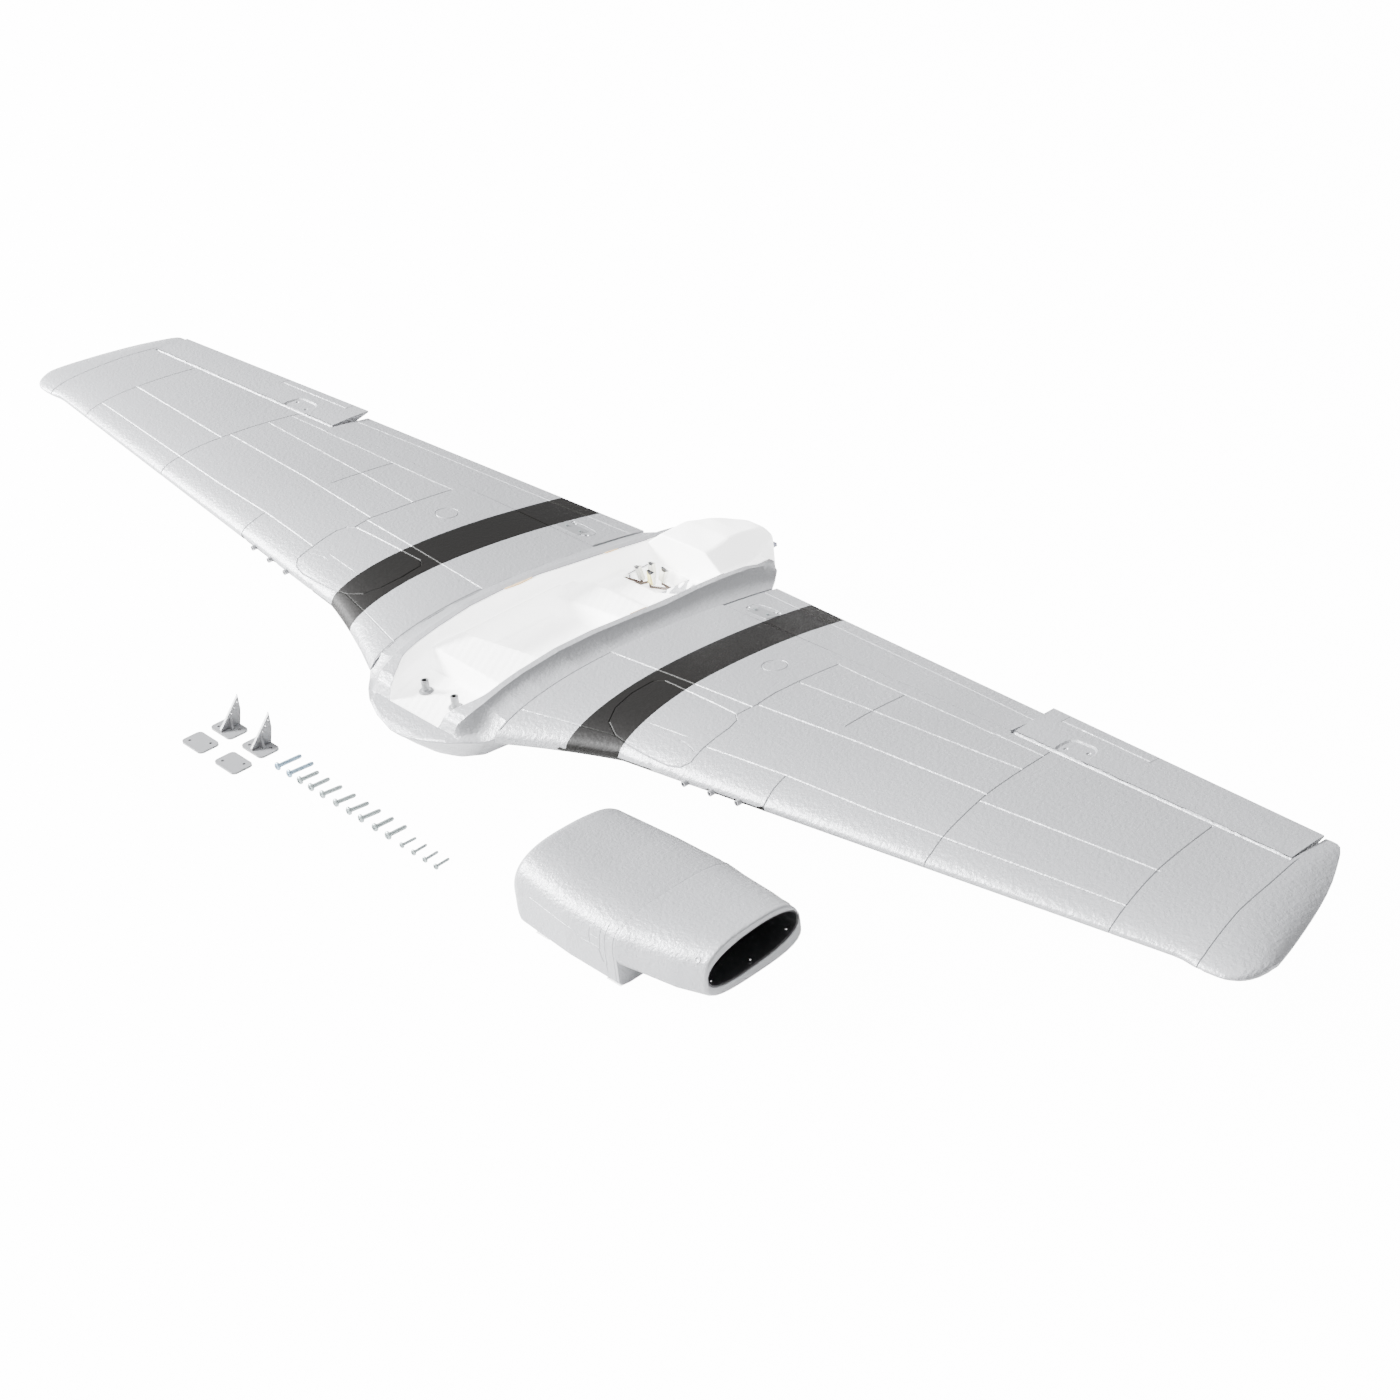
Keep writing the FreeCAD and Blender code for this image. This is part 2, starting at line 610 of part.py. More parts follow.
def body_section(y):
    rim_x, rim_z = table(y, RIM, 1), table(y, RIM, 2)
    plan_x, belly_z = table(y, PLAN, 1), table(y, BELLY, 1)
    if y < NOSE_RIM_END:
        rim_z = table(y, NOSE_RIM, 1)
        rim_x = max(2.0, min(rim_x, plan_x - 4.0))
    side_x = min(max(plan_x, rim_x + 1.0), SEAM_X)
    top, low = side_edge(y)
    top = min(top, rim_z - 0.6)
    low = min(low, top - 0.8)
    fillet = [Vec(rim_x, y, rim_z)]
    fillet += [Vec(rim_x + out * (side_x - rim_x), y, rim_z - down * (rim_z - top))
               for out, down in FILLET_CURVE]
    fillet.append(Vec(side_x, y, top))
    belly = [Vec(side_x, y, low)]
    belly += [Vec(side_x * out, y, low + down * (belly_z - low)) for out, down in BELLY_CURVE]
    belly.append(Vec(0, y, belly_z))
    right_fillet = [flip_point(p) for p in reversed(fillet)]
    belly += [flip_point(p) for p in reversed(belly[:-1])]
    return Part.Wire([Part.makeLine(right_fillet[-1], fillet[0]), spline(fillet),
                      Part.makeLine(fillet[-1], belly[0]), spline(belly),
                      Part.makeLine(belly[-1], right_fillet[0]), spline(right_fillet)])


BLOCK = [  # tail block: y, half width at base, half width at top, top z, bottom z
    (212.0, 40.0, 23.0, 16.0, -27.0), (236.0, 37.5, 21.5, 17.0, -27.0),
    (251.0, 33.0, 17.5, 14.2, -27.0), (264.0, 27.0, 14.5, 10.0, -26.5),
    (275.0, 21.0, 10.5, 5.5, -26.5), (282.5, 15.0, 7.5, 2.0, -26.0)]


def block_section(y, base, top_half, top, low):
    shoulder = min(3.0, top - 4)
    outline = [(-base, low), (-base, shoulder), (-top_half, top), (top_half, top),
               (base, shoulder), (base, low)]
    return polygon([Vec(x, y, z) for x, z in outline])


TROUGH = [  # y, half width at the rims, half width at the floor, floor z
    (-45.0, 34.0, 18.0, -9.0), (-22.0, 35.6, 26.5, -9.0), (-9.0, 40.6, 31.0, -9.0),
    (5.0, 42.5, 36.5, -9.0), (22.0, 42.8, 40.0, -9.0), (62.6, 44.0, 40.0, -9.0),
    (122.6, 45.2, 40.0, -9.0), (168.0, 42.6, 40.0, -8.0), (182.6, 41.4, 39.0, -9.0),
    (212.0, 39.8, 38.0, -10.0)]


def trough_section(y, half, low, floor):
    outline = [(-low + 2, floor), (low - 2, floor), (low, floor + 2), (low, 4), (half, 9),
               (half, 40), (-half, 40), (-half, 9), (-low, 4), (-low, floor + 2)]
    return polygon([Vec(x, y, z) for x, z in outline])


RAISED_FLOOR = (-40.5, 40.5, 22.0, 58.0, -12.0, 4.0)
DEEP_BAY = (-38.0, 38.0, 58.0, 140.0, -13.0, 0.0)
LEAD_PIT = (-33.0, 5.0, 184.0, 210.0, -17.5, 0.0)
TONGUE = (-8.0, 8.0, 262.0, 291.0, -17.0, -14.4)
TONGUE_SLOT = (-8.0, 8.0, 262.0, 300.0, -17.0, -14.4)
DOUBLER = (43.6, 45.4, 70.0, 152.0, 10.0, 13.5)
WING_MAGNETS = [  # x, y, top z
    (-24.0, 150.0, -32.0), (24.0, 150.0, -32.0), (-20.0, 215.0, -26.0), (20.0, 215.0, -26.0)]
BORE_RUN = 40.0          # magnet bores run down out of the belly
COUNTERBORE_RUN = 60.0
POST_X = size("post_x")
POST_LOW_Z = FLOOR_Z - size("post_tail")

# plywood doublers let into the inner faces of the rims
doublers = [box(*DOUBLER), flip(box(*DOUBLER))]


def build_center():
    core = loft([body_section(y) for y in BODY_STATIONS])
    block = loft([block_section(*row) for row in BLOCK])
    trough = loft([trough_section(*row) for row in TROUGH])
    center = core.fuse(block).cut(trough)
    # a raised floor behind the posts, a deeper bay behind that, then the lead pit
    center = center.fuse(box(*RAISED_FLOOR)).cut(box(*DEEP_BAY)).cut(box(*LEAD_PIT))
    sides = ((1, SPAR, lead_channel),
             (-1, [flip_point(p) for p in SPAR], flip(lead_channel)))
    for sign, spar, channel in sides:
        center = center.cut(Part.makeCylinder(size("post_r") + FIT, size("post_tail"),
                                              Vec(sign * POST_X, 0, POST_LOW_Z)))
        center = center.cut(Part.makeCylinder(
            size("counterbore_r"), COUNTERBORE_RUN,
            Vec(sign * POST_X, 0, POST_LOW_Z - COUNTERBORE_RUN)))
        center = center.cut(rod(*spar, size("spar_r") + FIT, FIT))
        center = center.cut(channel)
    center = center.cut(box(*TONGUE_SLOT))
    for x, y, top in WING_MAGNETS:
        center = center.cut(Part.makeCylinder(size("magnet_r") + FIT, BORE_RUN,
                                              Vec(x, y, top - BORE_RUN)))
    for doubler in doublers:
        center = center.cut(doubler)
    return merged(center)


def magnet(x, y, low):
    return Part.makeCylinder(size("magnet_r"), size("magnet_thick"), Vec(x, y, low))


feature("center_section", build_center())
pair("wing_panel", build_panel())
pair("aileron", build_aileron())
feature("trough_ply_doublers", Part.makeCompound(doublers))
feature("scoop_magnets_wing", Part.makeCompound(
    [magnet(x, y, top - size("magnet_thick")) for x, y, top in WING_MAGNETS]))
feature("tail_tongue", box(*TONGUE))
pair("flap_hinges", Part.makeCompound([hinge_piece(frame) for frame in FLAP_FRAMES]))
pair("aileron_hinges", Part.makeCompound([hinge_piece(frame) for frame in AIL_FRAMES]))
pair("flap_servo", placed(build_servo(), flap_servo))
pair("aileron_servo", placed(build_servo(), ail_servo))
pair("flap_servo_arm", placed(build_arm(), flap_servo))
pair("aileron_servo_arm", placed(build_arm(), ail_servo))
pair("gear_mount", build_gear_mount())
pair("gun_muzzles", build_guns())


# ---------------------------------------------------------------- hinge pins and spar tubes
PIN_INSET = 0.4   # each pin stops short of the ends of its hinge line


def line_placement(line):
    return Placement(line[0], Rotation(AXIS_Z, line[1] - line[0]))


def hinge_pin(name, line):
    inset = (line[1] - line[0]).normalize() * PIN_INSET
    line = (line[0] + inset, line[1] - inset)
    label = name + "_left"
    pin = bound_cylinder(label + "_outer", "pin_r", (line[1] - line[0]).Length,
                         line_placement(line))
    mirrored(keep(pin, label), name + "_right")


def spar_tube():
    length = (SPAR[1] - SPAR[0]).Length
    tube = doc.addObject("Part::Cut", "main_spar_left")
    tube.Base = bound_cylinder("main_spar_left_outer", "spar_r", length, Placement())
    tube.Tool = bound_cylinder("main_spar_left_inner", "spar_in_r", length + 2,
                               Placement(Vec(0, 0, -1), Rotation()))
    tube.Placement = line_placement(SPAR)
    mirrored(keep(tube, "main_spar_left"), "main_spar_right")


hinge_pin("flap_hinge_pin", FLAP_LINE)
hinge_pin("aileron_hinge_pin", AIL_LINE)
spar_tube()


# ---------------------------------------------------------------- wing-bolt posts
def post(label, x):
    def upright(name, radius, height, low):
        return bound_cylinder(label + name, radius, height, Placement(Vec(0, 0, low), Rotation()))

    solid = doc.addObject("Part::MultiFuse", label + "_solid")
    solid.Shapes = [
        upright("_barrel", "post_r", "sizes.post_tail - sizes.floor_z", POST_LOW_Z),
        upright("_flange", "flange_r", "sizes.flange_thick", FLOOR_Z)]
    cut = doc.addObject("Part::Cut", label)
    cut.Base = solid
    cut.Tool = upright("_bore", "post_bore_r", 60, -50)
    cut.Placement = Placement(Vec(x, 0, 0), Rotation())
    keep(cut, label)


post("wing_bolt_post_left", POST_X)
post("wing_bolt_post_right", -POST_X)

# ---------------------------------------------------------------- flap, horn, plate, screws
HORN_AFT = 8.0                       # plate centre behind the hinge line
BASE_OUT = 1.3                       # horn base below the lower skin
BLADE_HALF = 0.8
BLADE = [  # y, z in the hinge frame
    (1.6, -1.6), (12.0, -0.4), (3.2, -14.2), (0.6, -15.2), (-1.9, -14.0), (-2.1, -12.0)]
LINK_HOLE_R = 0.75
LINK_LEAN = 0.30                     # the row of link holes leans aft as it rises
SCREW_R, SCREW_LEN = 0.9, 13.0
HEAD_R, HEAD_TALL = 1.9, 1.2


def skin_frame(y, upper, half_y):
    """Frame on the skin at the flap horn, tilted to its slope over the plate's width."""
    rise = skin(FLAP_DRIVE_X, y + half_y, upper) - skin(FLAP_DRIVE_X, y - half_y, upper)
    slope = math.degrees(math.atan2(rise, 2 * half_y))
    return Placement(Vec(FLAP_DRIVE_X, y, skin(FLAP_DRIVE_X, y, upper)),
                     flap_drive.Rotation.multiply(Rotation(AXIS_X, slope)))


def build_flap_set():
    """The flap with its horn below, its plate above and the screws through all three."""
    y = flap_drive.Base.y + HORN_AFT
    base_frame = skin_frame(y, False, 6.0)
    base = placed(box(-9.0, 9.0, -6.0, 6.0, -BASE_OUT, 0.5), base_frame)
    plate = placed(box(-11.0, 11.0, -5.5, 5.5, -1.0, 0.2), skin_frame(y, True, 5.5))
    blade = Part.Face(polygon([Vec(-BLADE_HALF, y, z) for y, z in BLADE]))
    blade = placed(blade.extrude(Vec(2 * BLADE_HALF, 0, 0)), flap_drive)
    horn = base.fuse(blade)
    flap = build_flap().cut(base).cut(plate).cut(blade)
    for rise in HOLE_RISES:
        radius = SPARE_HOLE_R if rise else LINK_HOLE_R
        hole = cylinder_x(radius, -3, 3, rise * LINK_LEAN, rise - ARM_LEN)
        horn = horn.cut(placed(hole, flap_drive))
    screws = []
    up = base_frame.Rotation.multVec(AXIS_Z)
    for x in (-6.5, 6.5):
        foot = base_frame.multVec(Vec(x, 0.8, -BASE_OUT))
        screws.append(Part.makeCylinder(SCREW_R, SCREW_LEN, foot, up).fuse(
            Part.makeCylinder(HEAD_R, HEAD_TALL, foot - up * HEAD_TALL, up)))
        hole = Part.makeCylinder(SCREW_R + FIT, SCREW_LEN + 0.5, foot - up * 0.2, up)
        horn = horn.cut(hole)
        flap = flap.cut(hole)
        plate = plate.cut(hole)
    pair("flap", merged(flap))
    pair("flap_horn", merged(horn))
    pair("flap_horn_plate", merged(plate))
    pair("flap_horn_screws", Part.makeCompound(screws))


build_flap_set()

# ---------------------------------------------------------------- flap pushrod and clevis
# in the hinge frame, from the servo arm's end hole to the horn's working hole
ARM_HOLE = FLAP_SHAFT + Vec(0, 0, -ARM_LEN)
HORN_HOLE = Vec(0, 0, -ARM_LEN)
ROD_OFFSET = 2.1        # the rod bends aft beside the arm
ROD_SHORT = 8.0         # and ends short of the horn hole
ROD_BEND = ARM_HOLE + Vec(ROD_OFFSET, 0, 0)
ROD_SLOPE = (HORN_HOLE.z - ARM_HOLE.z) / (HORN_HOLE.y - ARM_HOLE.y)
ROD_END = HORN_HOLE + Vec(0, -ROD_SHORT, -ROD_SHORT * ROD_SLOPE)


def build_pushrod():
    radius = size("rod_r")
    wire = cylinder_x(radius, -1.5, ROD_OFFSET, ARM_HOLE.y, ARM_HOLE.z).fuse([
        Part.makeSphere(radius, ROD_BEND), rod(ROD_BEND, ROD_END, radius)])
    return placed(merged(wire), flap_drive)


def build_clevis():
    along = (ROD_END - ROD_BEND).normalize()
    barrel = Part.makeCylinder(1.7, 6.5, ROD_END - along * 5.5, along)
    fork = box(-2.0, 2.0, -9.5, 2.0, -ARM_LEN - 1.7, -ARM_LEN + 1.7).cut(
        box(-1.05, 1.05, -6.5, 3.0, -ARM_LEN - 3, -ARM_LEN + 3))
    pin = cylinder_x(0.55, -2.0, 2.0, 0, -ARM_LEN)
    clevis = barrel.fuse([fork, pin]).cut(rod(ROD_BEND, ROD_END, size("rod_r")))
    return placed(merged(clevis), flap_drive)


pair("flap_pushrod", build_pushrod())
pair("flap_clevis", build_clevis())

# ---------------------------------------------------------------- servo leads and plugs
LEAD_R = 0.9
FLAP_LEAD_END = flap_servo.multVec(Vec(CASE_IN_X - 0.8, 10.0, -1.0))
AIL_LEAD_END = ail_servo.multVec(Vec(CASE_IN_X - 0.4, 10.0, 0.5))
# for each side, the flap lead then the aileron lead:
# points in the wing, point at the pit, plug's base, plug's direction
LEADS = {
    "left": [
        ([FLAP_LEAD_END], LEAD_MOUTH + Vec(0, -1.2, 1.0),
         Vec(-15.0, 192.0, -12.0), Vec(0.12, -0.10, 1.0)),
        ([AIL_LEAD_END, LEAD_BEND], LEAD_MOUTH + Vec(0, 1.2, -1.0),
         Vec(-11.0, 200.5, -12.0), Vec(0.28, 0.12, 1.0))],
    "right": [
        ([flip_point(FLAP_LEAD_END)],
         flip_point(on_line((LEAD_MOUTH, FLAP_PORT), 20.0)) + Vec(0, 0, 0.6),
         Vec(-20.5, 200.5, -12.0), Vec(-0.12, 0.15, 1.0)),
        ([flip_point(AIL_LEAD_END), flip_point(LEAD_BEND)],
         flip_point(on_line((LEAD_MOUTH, LEAD_BEND), 28.0)) + Vec(0, 0, -0.8),
         Vec(-24.5, 192.0, -12.0), Vec(-0.25, -0.10, 1.0))]}


def lead(inside, pit, base, direction):
    unit = Vec(direction).normalize()
    points = inside + [pit, base - unit * 3.0, base - unit * 0.05]
    legs = [rod(start, end, LEAD_R) for start, end in zip(points, points[1:])]
    wire = legs[0]
    for piece in legs[1:] + [Part.makeSphere(LEAD_R, point) for point in points[1:-1]]:
        wire = wire.fuse(piece)
    return merged(wire)


def plug(base, direction):
    body = box(-3.8, 3.8, -1.3, 1.3, 0.0, 13.0).fuse(box(-1.6, 1.6, -1.9, -1.2, 2.0, 11.0))
    for x in (-2.54, 0.0, 2.54):
        body = body.cut(box(x - 0.5, x + 0.5, -0.5, 0.5, 9.0, 14.0))
    body.Placement = Placement(base, Rotation(AXIS_Z, Vec(direction).normalize()))
    return merged(body)


for side, rows in LEADS.items():
    feature("servo_leads_" + side, Part.makeCompound([lead(*row) for row in rows]))
    feature("servo_plugs_" + side, Part.makeCompound([plug(*row[2:]) for row in rows]))

# ---------------------------------------------------------------- belly scoop
# It lies upside down on the bench, in its own frame: stations along X, Z up from the bench.
SCOOP = Placement(Vec(193.84, -45.5, BENCH_Z), Rotation(AXIS_Z, 1.26))
# station, half width, shoulder height, top, bottom, lower exponent, upper exponent
BOX = [
    (-14.5, 39.6, 17.0, 41.2, 0.0, 12.0, 2.6), (-7.5, 43.1, 19.8, 45.8, 0.0, 14.0, 3.0),
    (40.0, 46.8, 20.8, 43.6, 0.0, 14.0, 3.0), (84.0, 47.0, 21.0, 43.4, 0.0, 14.0, 3.0)]
DUCT = [  # the duct leaves the box at a step and stands clear of the bench
    (84.0, 47.0, 21.0, 43.4, 7.0, 2.4, 3.0), (98.0, 44.6, 21.6, 44.0, 8.0, 2.6, 3.0),
    (124.0, 41.2, 23.0, 45.6, 10.0, 3.0, 3.0), (147.0, 36.4, 24.9, 47.4, 13.2, 3.0, 3.0)]
WALL = size("scoop_wall")
LINER_THICK = 0.9
OPEN_LOW_Z, OPEN_EXPONENT = -8.0, 14.0   # hollow that breaks out through the bottom
LEDGES = [(6.0, 18.0, 13.0, 43.4, 0.0, 5.0), (71.0, 83.0, 17.0, 45.6, 0.0, 5.0)]
SCOOP_MAGNETS = [(12.0, -20.0), (12.0, 20.0), (77.0, -24.0), (77.0, 24.0)]   # x, y


def scoop_wire(rows, station, inset=0.0, open_low=False, at=None):
    """Superellipse of the given station, inset, drawn at x = at or at the station."""
    half, shoulder, top, low, low_exp, top_exp = [table(station, rows, k) for k in range(1, 7)]
    x = station if at is None else at
    half, top, low = half - inset, top - inset, low + inset
    if open_low:
        low, low_exp = OPEN_LOW_Z, OPEN_EXPONENT
    points = []
    for k in range(36):
        angle = 2 * math.pi * k / 36
        across, up = math.cos(angle), math.sin(angle)
        exponent, reach = (top_exp, top - shoulder) if up >= 0 else (low_exp, shoulder - low)
        points.append(Vec(x, half * math.copysign(abs(across) ** (2.0 / exponent), across),
                          shoulder + reach * math.copysign(abs(up) ** (2.0 / exponent), up)))
    return polygon(points)


def build_scoop_shell():
    shell = merged(loft([scoop_wire(BOX, row[0]) for row in BOX]).fuse(
        loft([scoop_wire(DUCT, row[0]) for row in DUCT])))
    inner_box = loft([scoop_wire(BOX, x, WALL, open_low=True) for x in (-10.0, 40.0, 81.0)])
    inner_duct = loft([scoop_wire(DUCT, 84.0, WALL, at=80.0)] +
                      [scoop_wire(DUCT, row[0], WALL) for row in DUCT] +
                      [scoop_wire(DUCT, 147.0, WALL, at=149.0)])
    ledges = [box(*row) for row in LEDGES]
    ledges += [ledge.mirror(ORIGIN, AXIS_Y) for ledge in ledges]
    shell = shell.cut(inner_box).cut(inner_duct).fuse(ledges)
    for x, y in SCOOP_MAGNETS:
        shell = shell.cut(Part.makeCylinder(size("magnet_r") + FIT, 3.0, Vec(x, y, -0.5)))
    return merged(shell)


def build_scoop_liner():
    outer, inner = WALL + FIT, WALL + FIT + LINER_THICK
    liner = loft([scoop_wire(DUCT, x, outer) for x in (104.0, 124.0, 146.0)])
    liner = liner.cut(loft([scoop_wire(DUCT, x, inner) for x in (105.2, 124.0, 146.0)] +
                           [scoop_wire(DUCT, 146.0, inner, at=149.0)]))
    return merged(liner)


feature("scoop_shell", placed(build_scoop_shell(), SCOOP))
feature("scoop_intake_liner", placed(build_scoop_liner(), SCOOP))
feature("scoop_magnets", placed(Part.makeCompound(
    [magnet(x, y, 0.4) for x, y in SCOOP_MAGNETS]), SCOOP))

# ---------------------------------------------------------------- loose horns and back plates
HORN_BLADE = [(-7.0, 0.4), (8.0, 0.4), (8.4, 5.0), (10.8, 12.0), (9.2, 21.0), (8.4, 22.6),
              (6.8, 22.9), (5.6, 22.0), (-7.0, 3.0)]                    # y, z
HORN_GUSSET = [(-6.5, 0.4), (6.5, 0.4), (0.9, 9.0), (-0.9, 9.0)]        # x, z
HORN_LINKS = [(7.0, 20.6), (4.9, 17.5), (2.8, 14.4), (0.7, 11.3)]       # y, z of link holes
GUSSET_THICK = 1.4


def sketch(body, name, role):
    obj = body.newObject("Sketcher::SketchObject", name)
    base = [item for item in body.Origin.OriginFeatures if item.Role == role][0]
    obj.AttachmentSupport = [(base, "")]
    obj.MapMode = "FlatFace"
    return obj


def add_line(profile, start, end):
    profile.addGeometry(Part.LineSegment(Vec(*start, 0), Vec(*end, 0)), False)


def add_outline(profile, points):
    for start, end in zip(points, points[1:] + points[:1]):
        add_line(profile, start, end)


def add_circles(profile, centres, radius):
    for x, y in centres:
        profile.addGeometry(Part.Circle(Vec(x, y, 0), AXIS_Z, radius), False)


def add_rounded(profile, half_x, half_y, radius):
    """Rounded rectangle about the sketch origin."""
    x, y = half_x - radius, half_y - radius
    for start, end in (((-x, -half_y), (x, -half_y)), ((half_x, -y), (half_x, y)),
                       ((x, half_y), (-x, half_y)), ((-half_x, y), (-half_x, -y))):
        add_line(profile, start, end)
    for corner_x, corner_y, angle in ((x, -y, -90), (x, y, 0), (-x, y, 90), (-x, -y, 180)):
        circle = Part.Circle(Vec(corner_x, corner_y, 0), AXIS_Z, radius)
        profile.addGeometry(Part.ArcOfCircle(
            circle, math.radians(angle), math.radians(angle + 90)), False)


def add_pad(body, name, profile, length, midplane):
    pad = body.newObject("PartDesign::Pad", name)
    pad.Profile = profile
    if midplane:
        pad.Midplane = True
    bind(pad, "Length", length)
    doc.recompute()
    return pad.Shape.Volume


def add_through_pocket(body, name, profile, option, volume):
    """Pocket through all, with Reversed or Midplane set; it must remove material."""
    pocket = body.newObject("PartDesign::Pocket", name)
    pocket.Profile = profile
    pocket.Type = 1
    setattr(pocket, option, True)
    doc.recompute()
    # guards against the reversed direction pointing away from the plate
    if option == "Reversed" and not pocket.Shape.Volume < volume - 1:
        pocket.Reversed = False
        doc.recompute()
    assert pocket.Shape.Volume < volume - 1


def plate_body(label):
    body = doc.addObject("PartDesign::Body", label)
    outline = sketch(body, label + "_outline", "XY_Plane")
    add_rounded(outline, size("plate_long") / 2, size("plate_wide") / 2, size("plate_round"))
    volume = add_pad(body, label + "_pad", outline, "sizes.plate_thick", False)
    holes = sketch(body, label + "_holes", "XY_Plane")
    x, y = size("plate_hole_x"), size("plate_hole_y")
    add_circles(holes, [(-x, -y), (x, y)], size("plate_hole_r"))
    add_through_pocket(body, label + "_screw_holes", holes, "Reversed", volume)
    return body


def horn_body(label):
    body = plate_body(label)
    blade = sketch(body, label + "_blade_outline", "YZ_Plane")
    add_outline(blade, HORN_BLADE)
    add_pad(body, label + "_blade", blade, "sizes.horn_thick", True)
    gusset = sketch(body, label + "_gusset_outline", "XZ_Plane")
    add_outline(gusset, HORN_GUSSET)
    volume = add_pad(body, label + "_gusset", gusset, GUSSET_THICK, True)
    holes = sketch(body, label + "_link_holes", "YZ_Plane")
    add_circles(holes, HORN_LINKS, LINK_HOLE_R)
    add_through_pocket(body, label + "_link_bores", holes, "Midplane", volume)
    return body


LOOSE = [  # label, builder, x, y
    ("horn_back_plate_front", plate_body, -139.9, -104.3),
    ("horn_back_plate_rear", plate_body, -99.7, -103.9),
    ("control_horn_front", horn_body, -139.6, -81.5),
    ("control_horn_rear", horn_body, -102.5, -80.9)]
for label, build, x, y in LOOSE:
    body = build(label)
    body.Placement = Placement(Vec(x, y, BENCH_Z), Rotation())
    keep(body, label)

# ---------------------------------------------------------------- loose screws, laid in a row
HEAD_Y = -88.6
HEAD_LIFT = 0.02      # clear of the bench
HEAD_OVERLAP = 0.1    # shank into head
SCREWS = [  # label, shank radius, shank length, head radius, head height, [(x, heading)]
    ("screws_long", "screw_long_r", "screw_long_len", "screw_head_r", "screw_head_tall",
     [(-69.8, 92.0), (-56.2, 90.5)]),
    ("screws_medium", "screw_mid_r", "screw_mid_len", "screw_head_r", "screw_head_tall",
     [(-43.7, 92.5), (-31.0, 93.5), (-18.0, 88.9), (-2.9, 88.6), (11.5, 88.2), (24.8, 89.2),
      (40.0, 94.5), (54.0, 95.0)]),
    ("screws_small", "screw_small_r", "screw_small_len", "small_head_r", "small_head_tall",
     [(68.4, 95.0), (80.6, 100.0), (92.4, 100.5), (103.7, 100.0)])]


def screw_row(label, shank_r, shank_len, head_r, head_tall, spots):
    # the head's rim and the shank's tip both rest on the bench
    tilt = math.asin((size(head_r) - size(shank_r)) / size(shank_len))
    half_head = size(head_tall) / 2
    height = (BENCH_Z + size(head_r) * math.cos(tilt) + HEAD_LIFT
              + size(head_tall) * math.sin(tilt))
    pieces = []
    for k, (x, heading) in enumerate(spots):
        along = Rotation(AXIS_Z, heading).multVec(Vec(math.cos(tilt), 0, -math.sin(tilt)))
        turn = Rotation(AXIS_Z, along)
        middle = Vec(x, HEAD_Y, height)
        head = bound_cylinder("%s_head_%d" % (label, k), head_r, "sizes." + head_tall,
                              Placement(middle - along * half_head, turn))
        shank = bound_cylinder("%s_shank_%d" % (label, k), shank_r, "sizes." + shank_len,
                               Placement(middle + along * (half_head - HEAD_OVERLAP), turn))
        screw = doc.addObject("Part::MultiFuse", "%s_%d" % (label, k))
        screw.Shapes = [head, shank]
        pieces.append(screw)
    group = doc.addObject("Part::Compound", label)
    group.Links = pieces
    keep(group, label)


for row in SCREWS:
    screw_row(*row)

# ---------------------------------------------------------------- check and write
doc.recompute()
bad = []
for obj in doc.Objects:
    if any(word in ("Invalid", "Error") for word in obj.State):
        bad.append("%s: %s" % (obj.Label, obj.State))
for obj in NODES:
    if obj.Shape.isNull() or not obj.Shape.isValid() or not obj.Shape.Solids:
        bad.append("%s: no valid solid" % obj.Label)
if len({obj.Label for obj in NODES}) != len(NODES):
    bad.append("labels are not unique")
if bad:
    raise SystemExit("model not written: " + "; ".join(bad))
os.makedirs("parts", exist_ok=True)
for obj in NODES:
    obj.Shape.exportStep("parts/%s.step" % obj.Label)
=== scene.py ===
"""Wing of a model aeroplane, laid out on a bench with its belly scoop and screws.

Blender works in metres; every shape below is in millimetres. x runs along the span (the left
panel at +x, its mirror at -x), y from the leading edge (low) to the trailing edge (high), z up.
The wing lies right side up, the trough of its centre section open to the top. The scoop lies in
front of the left panel with its mouth towards +x. The row of screws lies in front of the centre.
"""
import json
import math
import random
from collections import namedtuple

import bpy
import numpy as np
from mathutils import Matrix, Vector
from mathutils.geometry import delaunay_2d_cdt

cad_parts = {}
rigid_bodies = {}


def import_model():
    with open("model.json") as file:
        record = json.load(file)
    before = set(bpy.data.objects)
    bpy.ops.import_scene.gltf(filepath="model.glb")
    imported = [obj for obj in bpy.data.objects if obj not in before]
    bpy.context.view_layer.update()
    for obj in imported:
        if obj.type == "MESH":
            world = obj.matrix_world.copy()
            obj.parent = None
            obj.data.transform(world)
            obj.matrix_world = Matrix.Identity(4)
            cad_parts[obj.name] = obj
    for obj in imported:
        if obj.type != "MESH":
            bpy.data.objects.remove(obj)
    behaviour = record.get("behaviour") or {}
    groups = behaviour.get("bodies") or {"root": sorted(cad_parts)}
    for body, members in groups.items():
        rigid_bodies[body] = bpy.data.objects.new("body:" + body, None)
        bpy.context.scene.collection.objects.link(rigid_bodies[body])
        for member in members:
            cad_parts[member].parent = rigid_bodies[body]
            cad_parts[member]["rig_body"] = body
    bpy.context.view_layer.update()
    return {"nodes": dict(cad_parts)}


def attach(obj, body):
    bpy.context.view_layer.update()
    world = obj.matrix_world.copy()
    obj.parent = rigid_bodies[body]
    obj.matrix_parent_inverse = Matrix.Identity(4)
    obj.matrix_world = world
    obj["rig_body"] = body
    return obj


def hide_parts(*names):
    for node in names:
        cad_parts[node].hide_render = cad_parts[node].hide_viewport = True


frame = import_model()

NODES = frame["nodes"]
BODY = {name: ob["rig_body"] for name, ob in NODES.items()}
rng = random.Random(7)

BENCH_Z = -47.5
MIRROR = np.array([-1, 1, 1])
SIDES = (("left", 1), ("right", -1))
PAINT_SLOT = "grey_foam_paint"

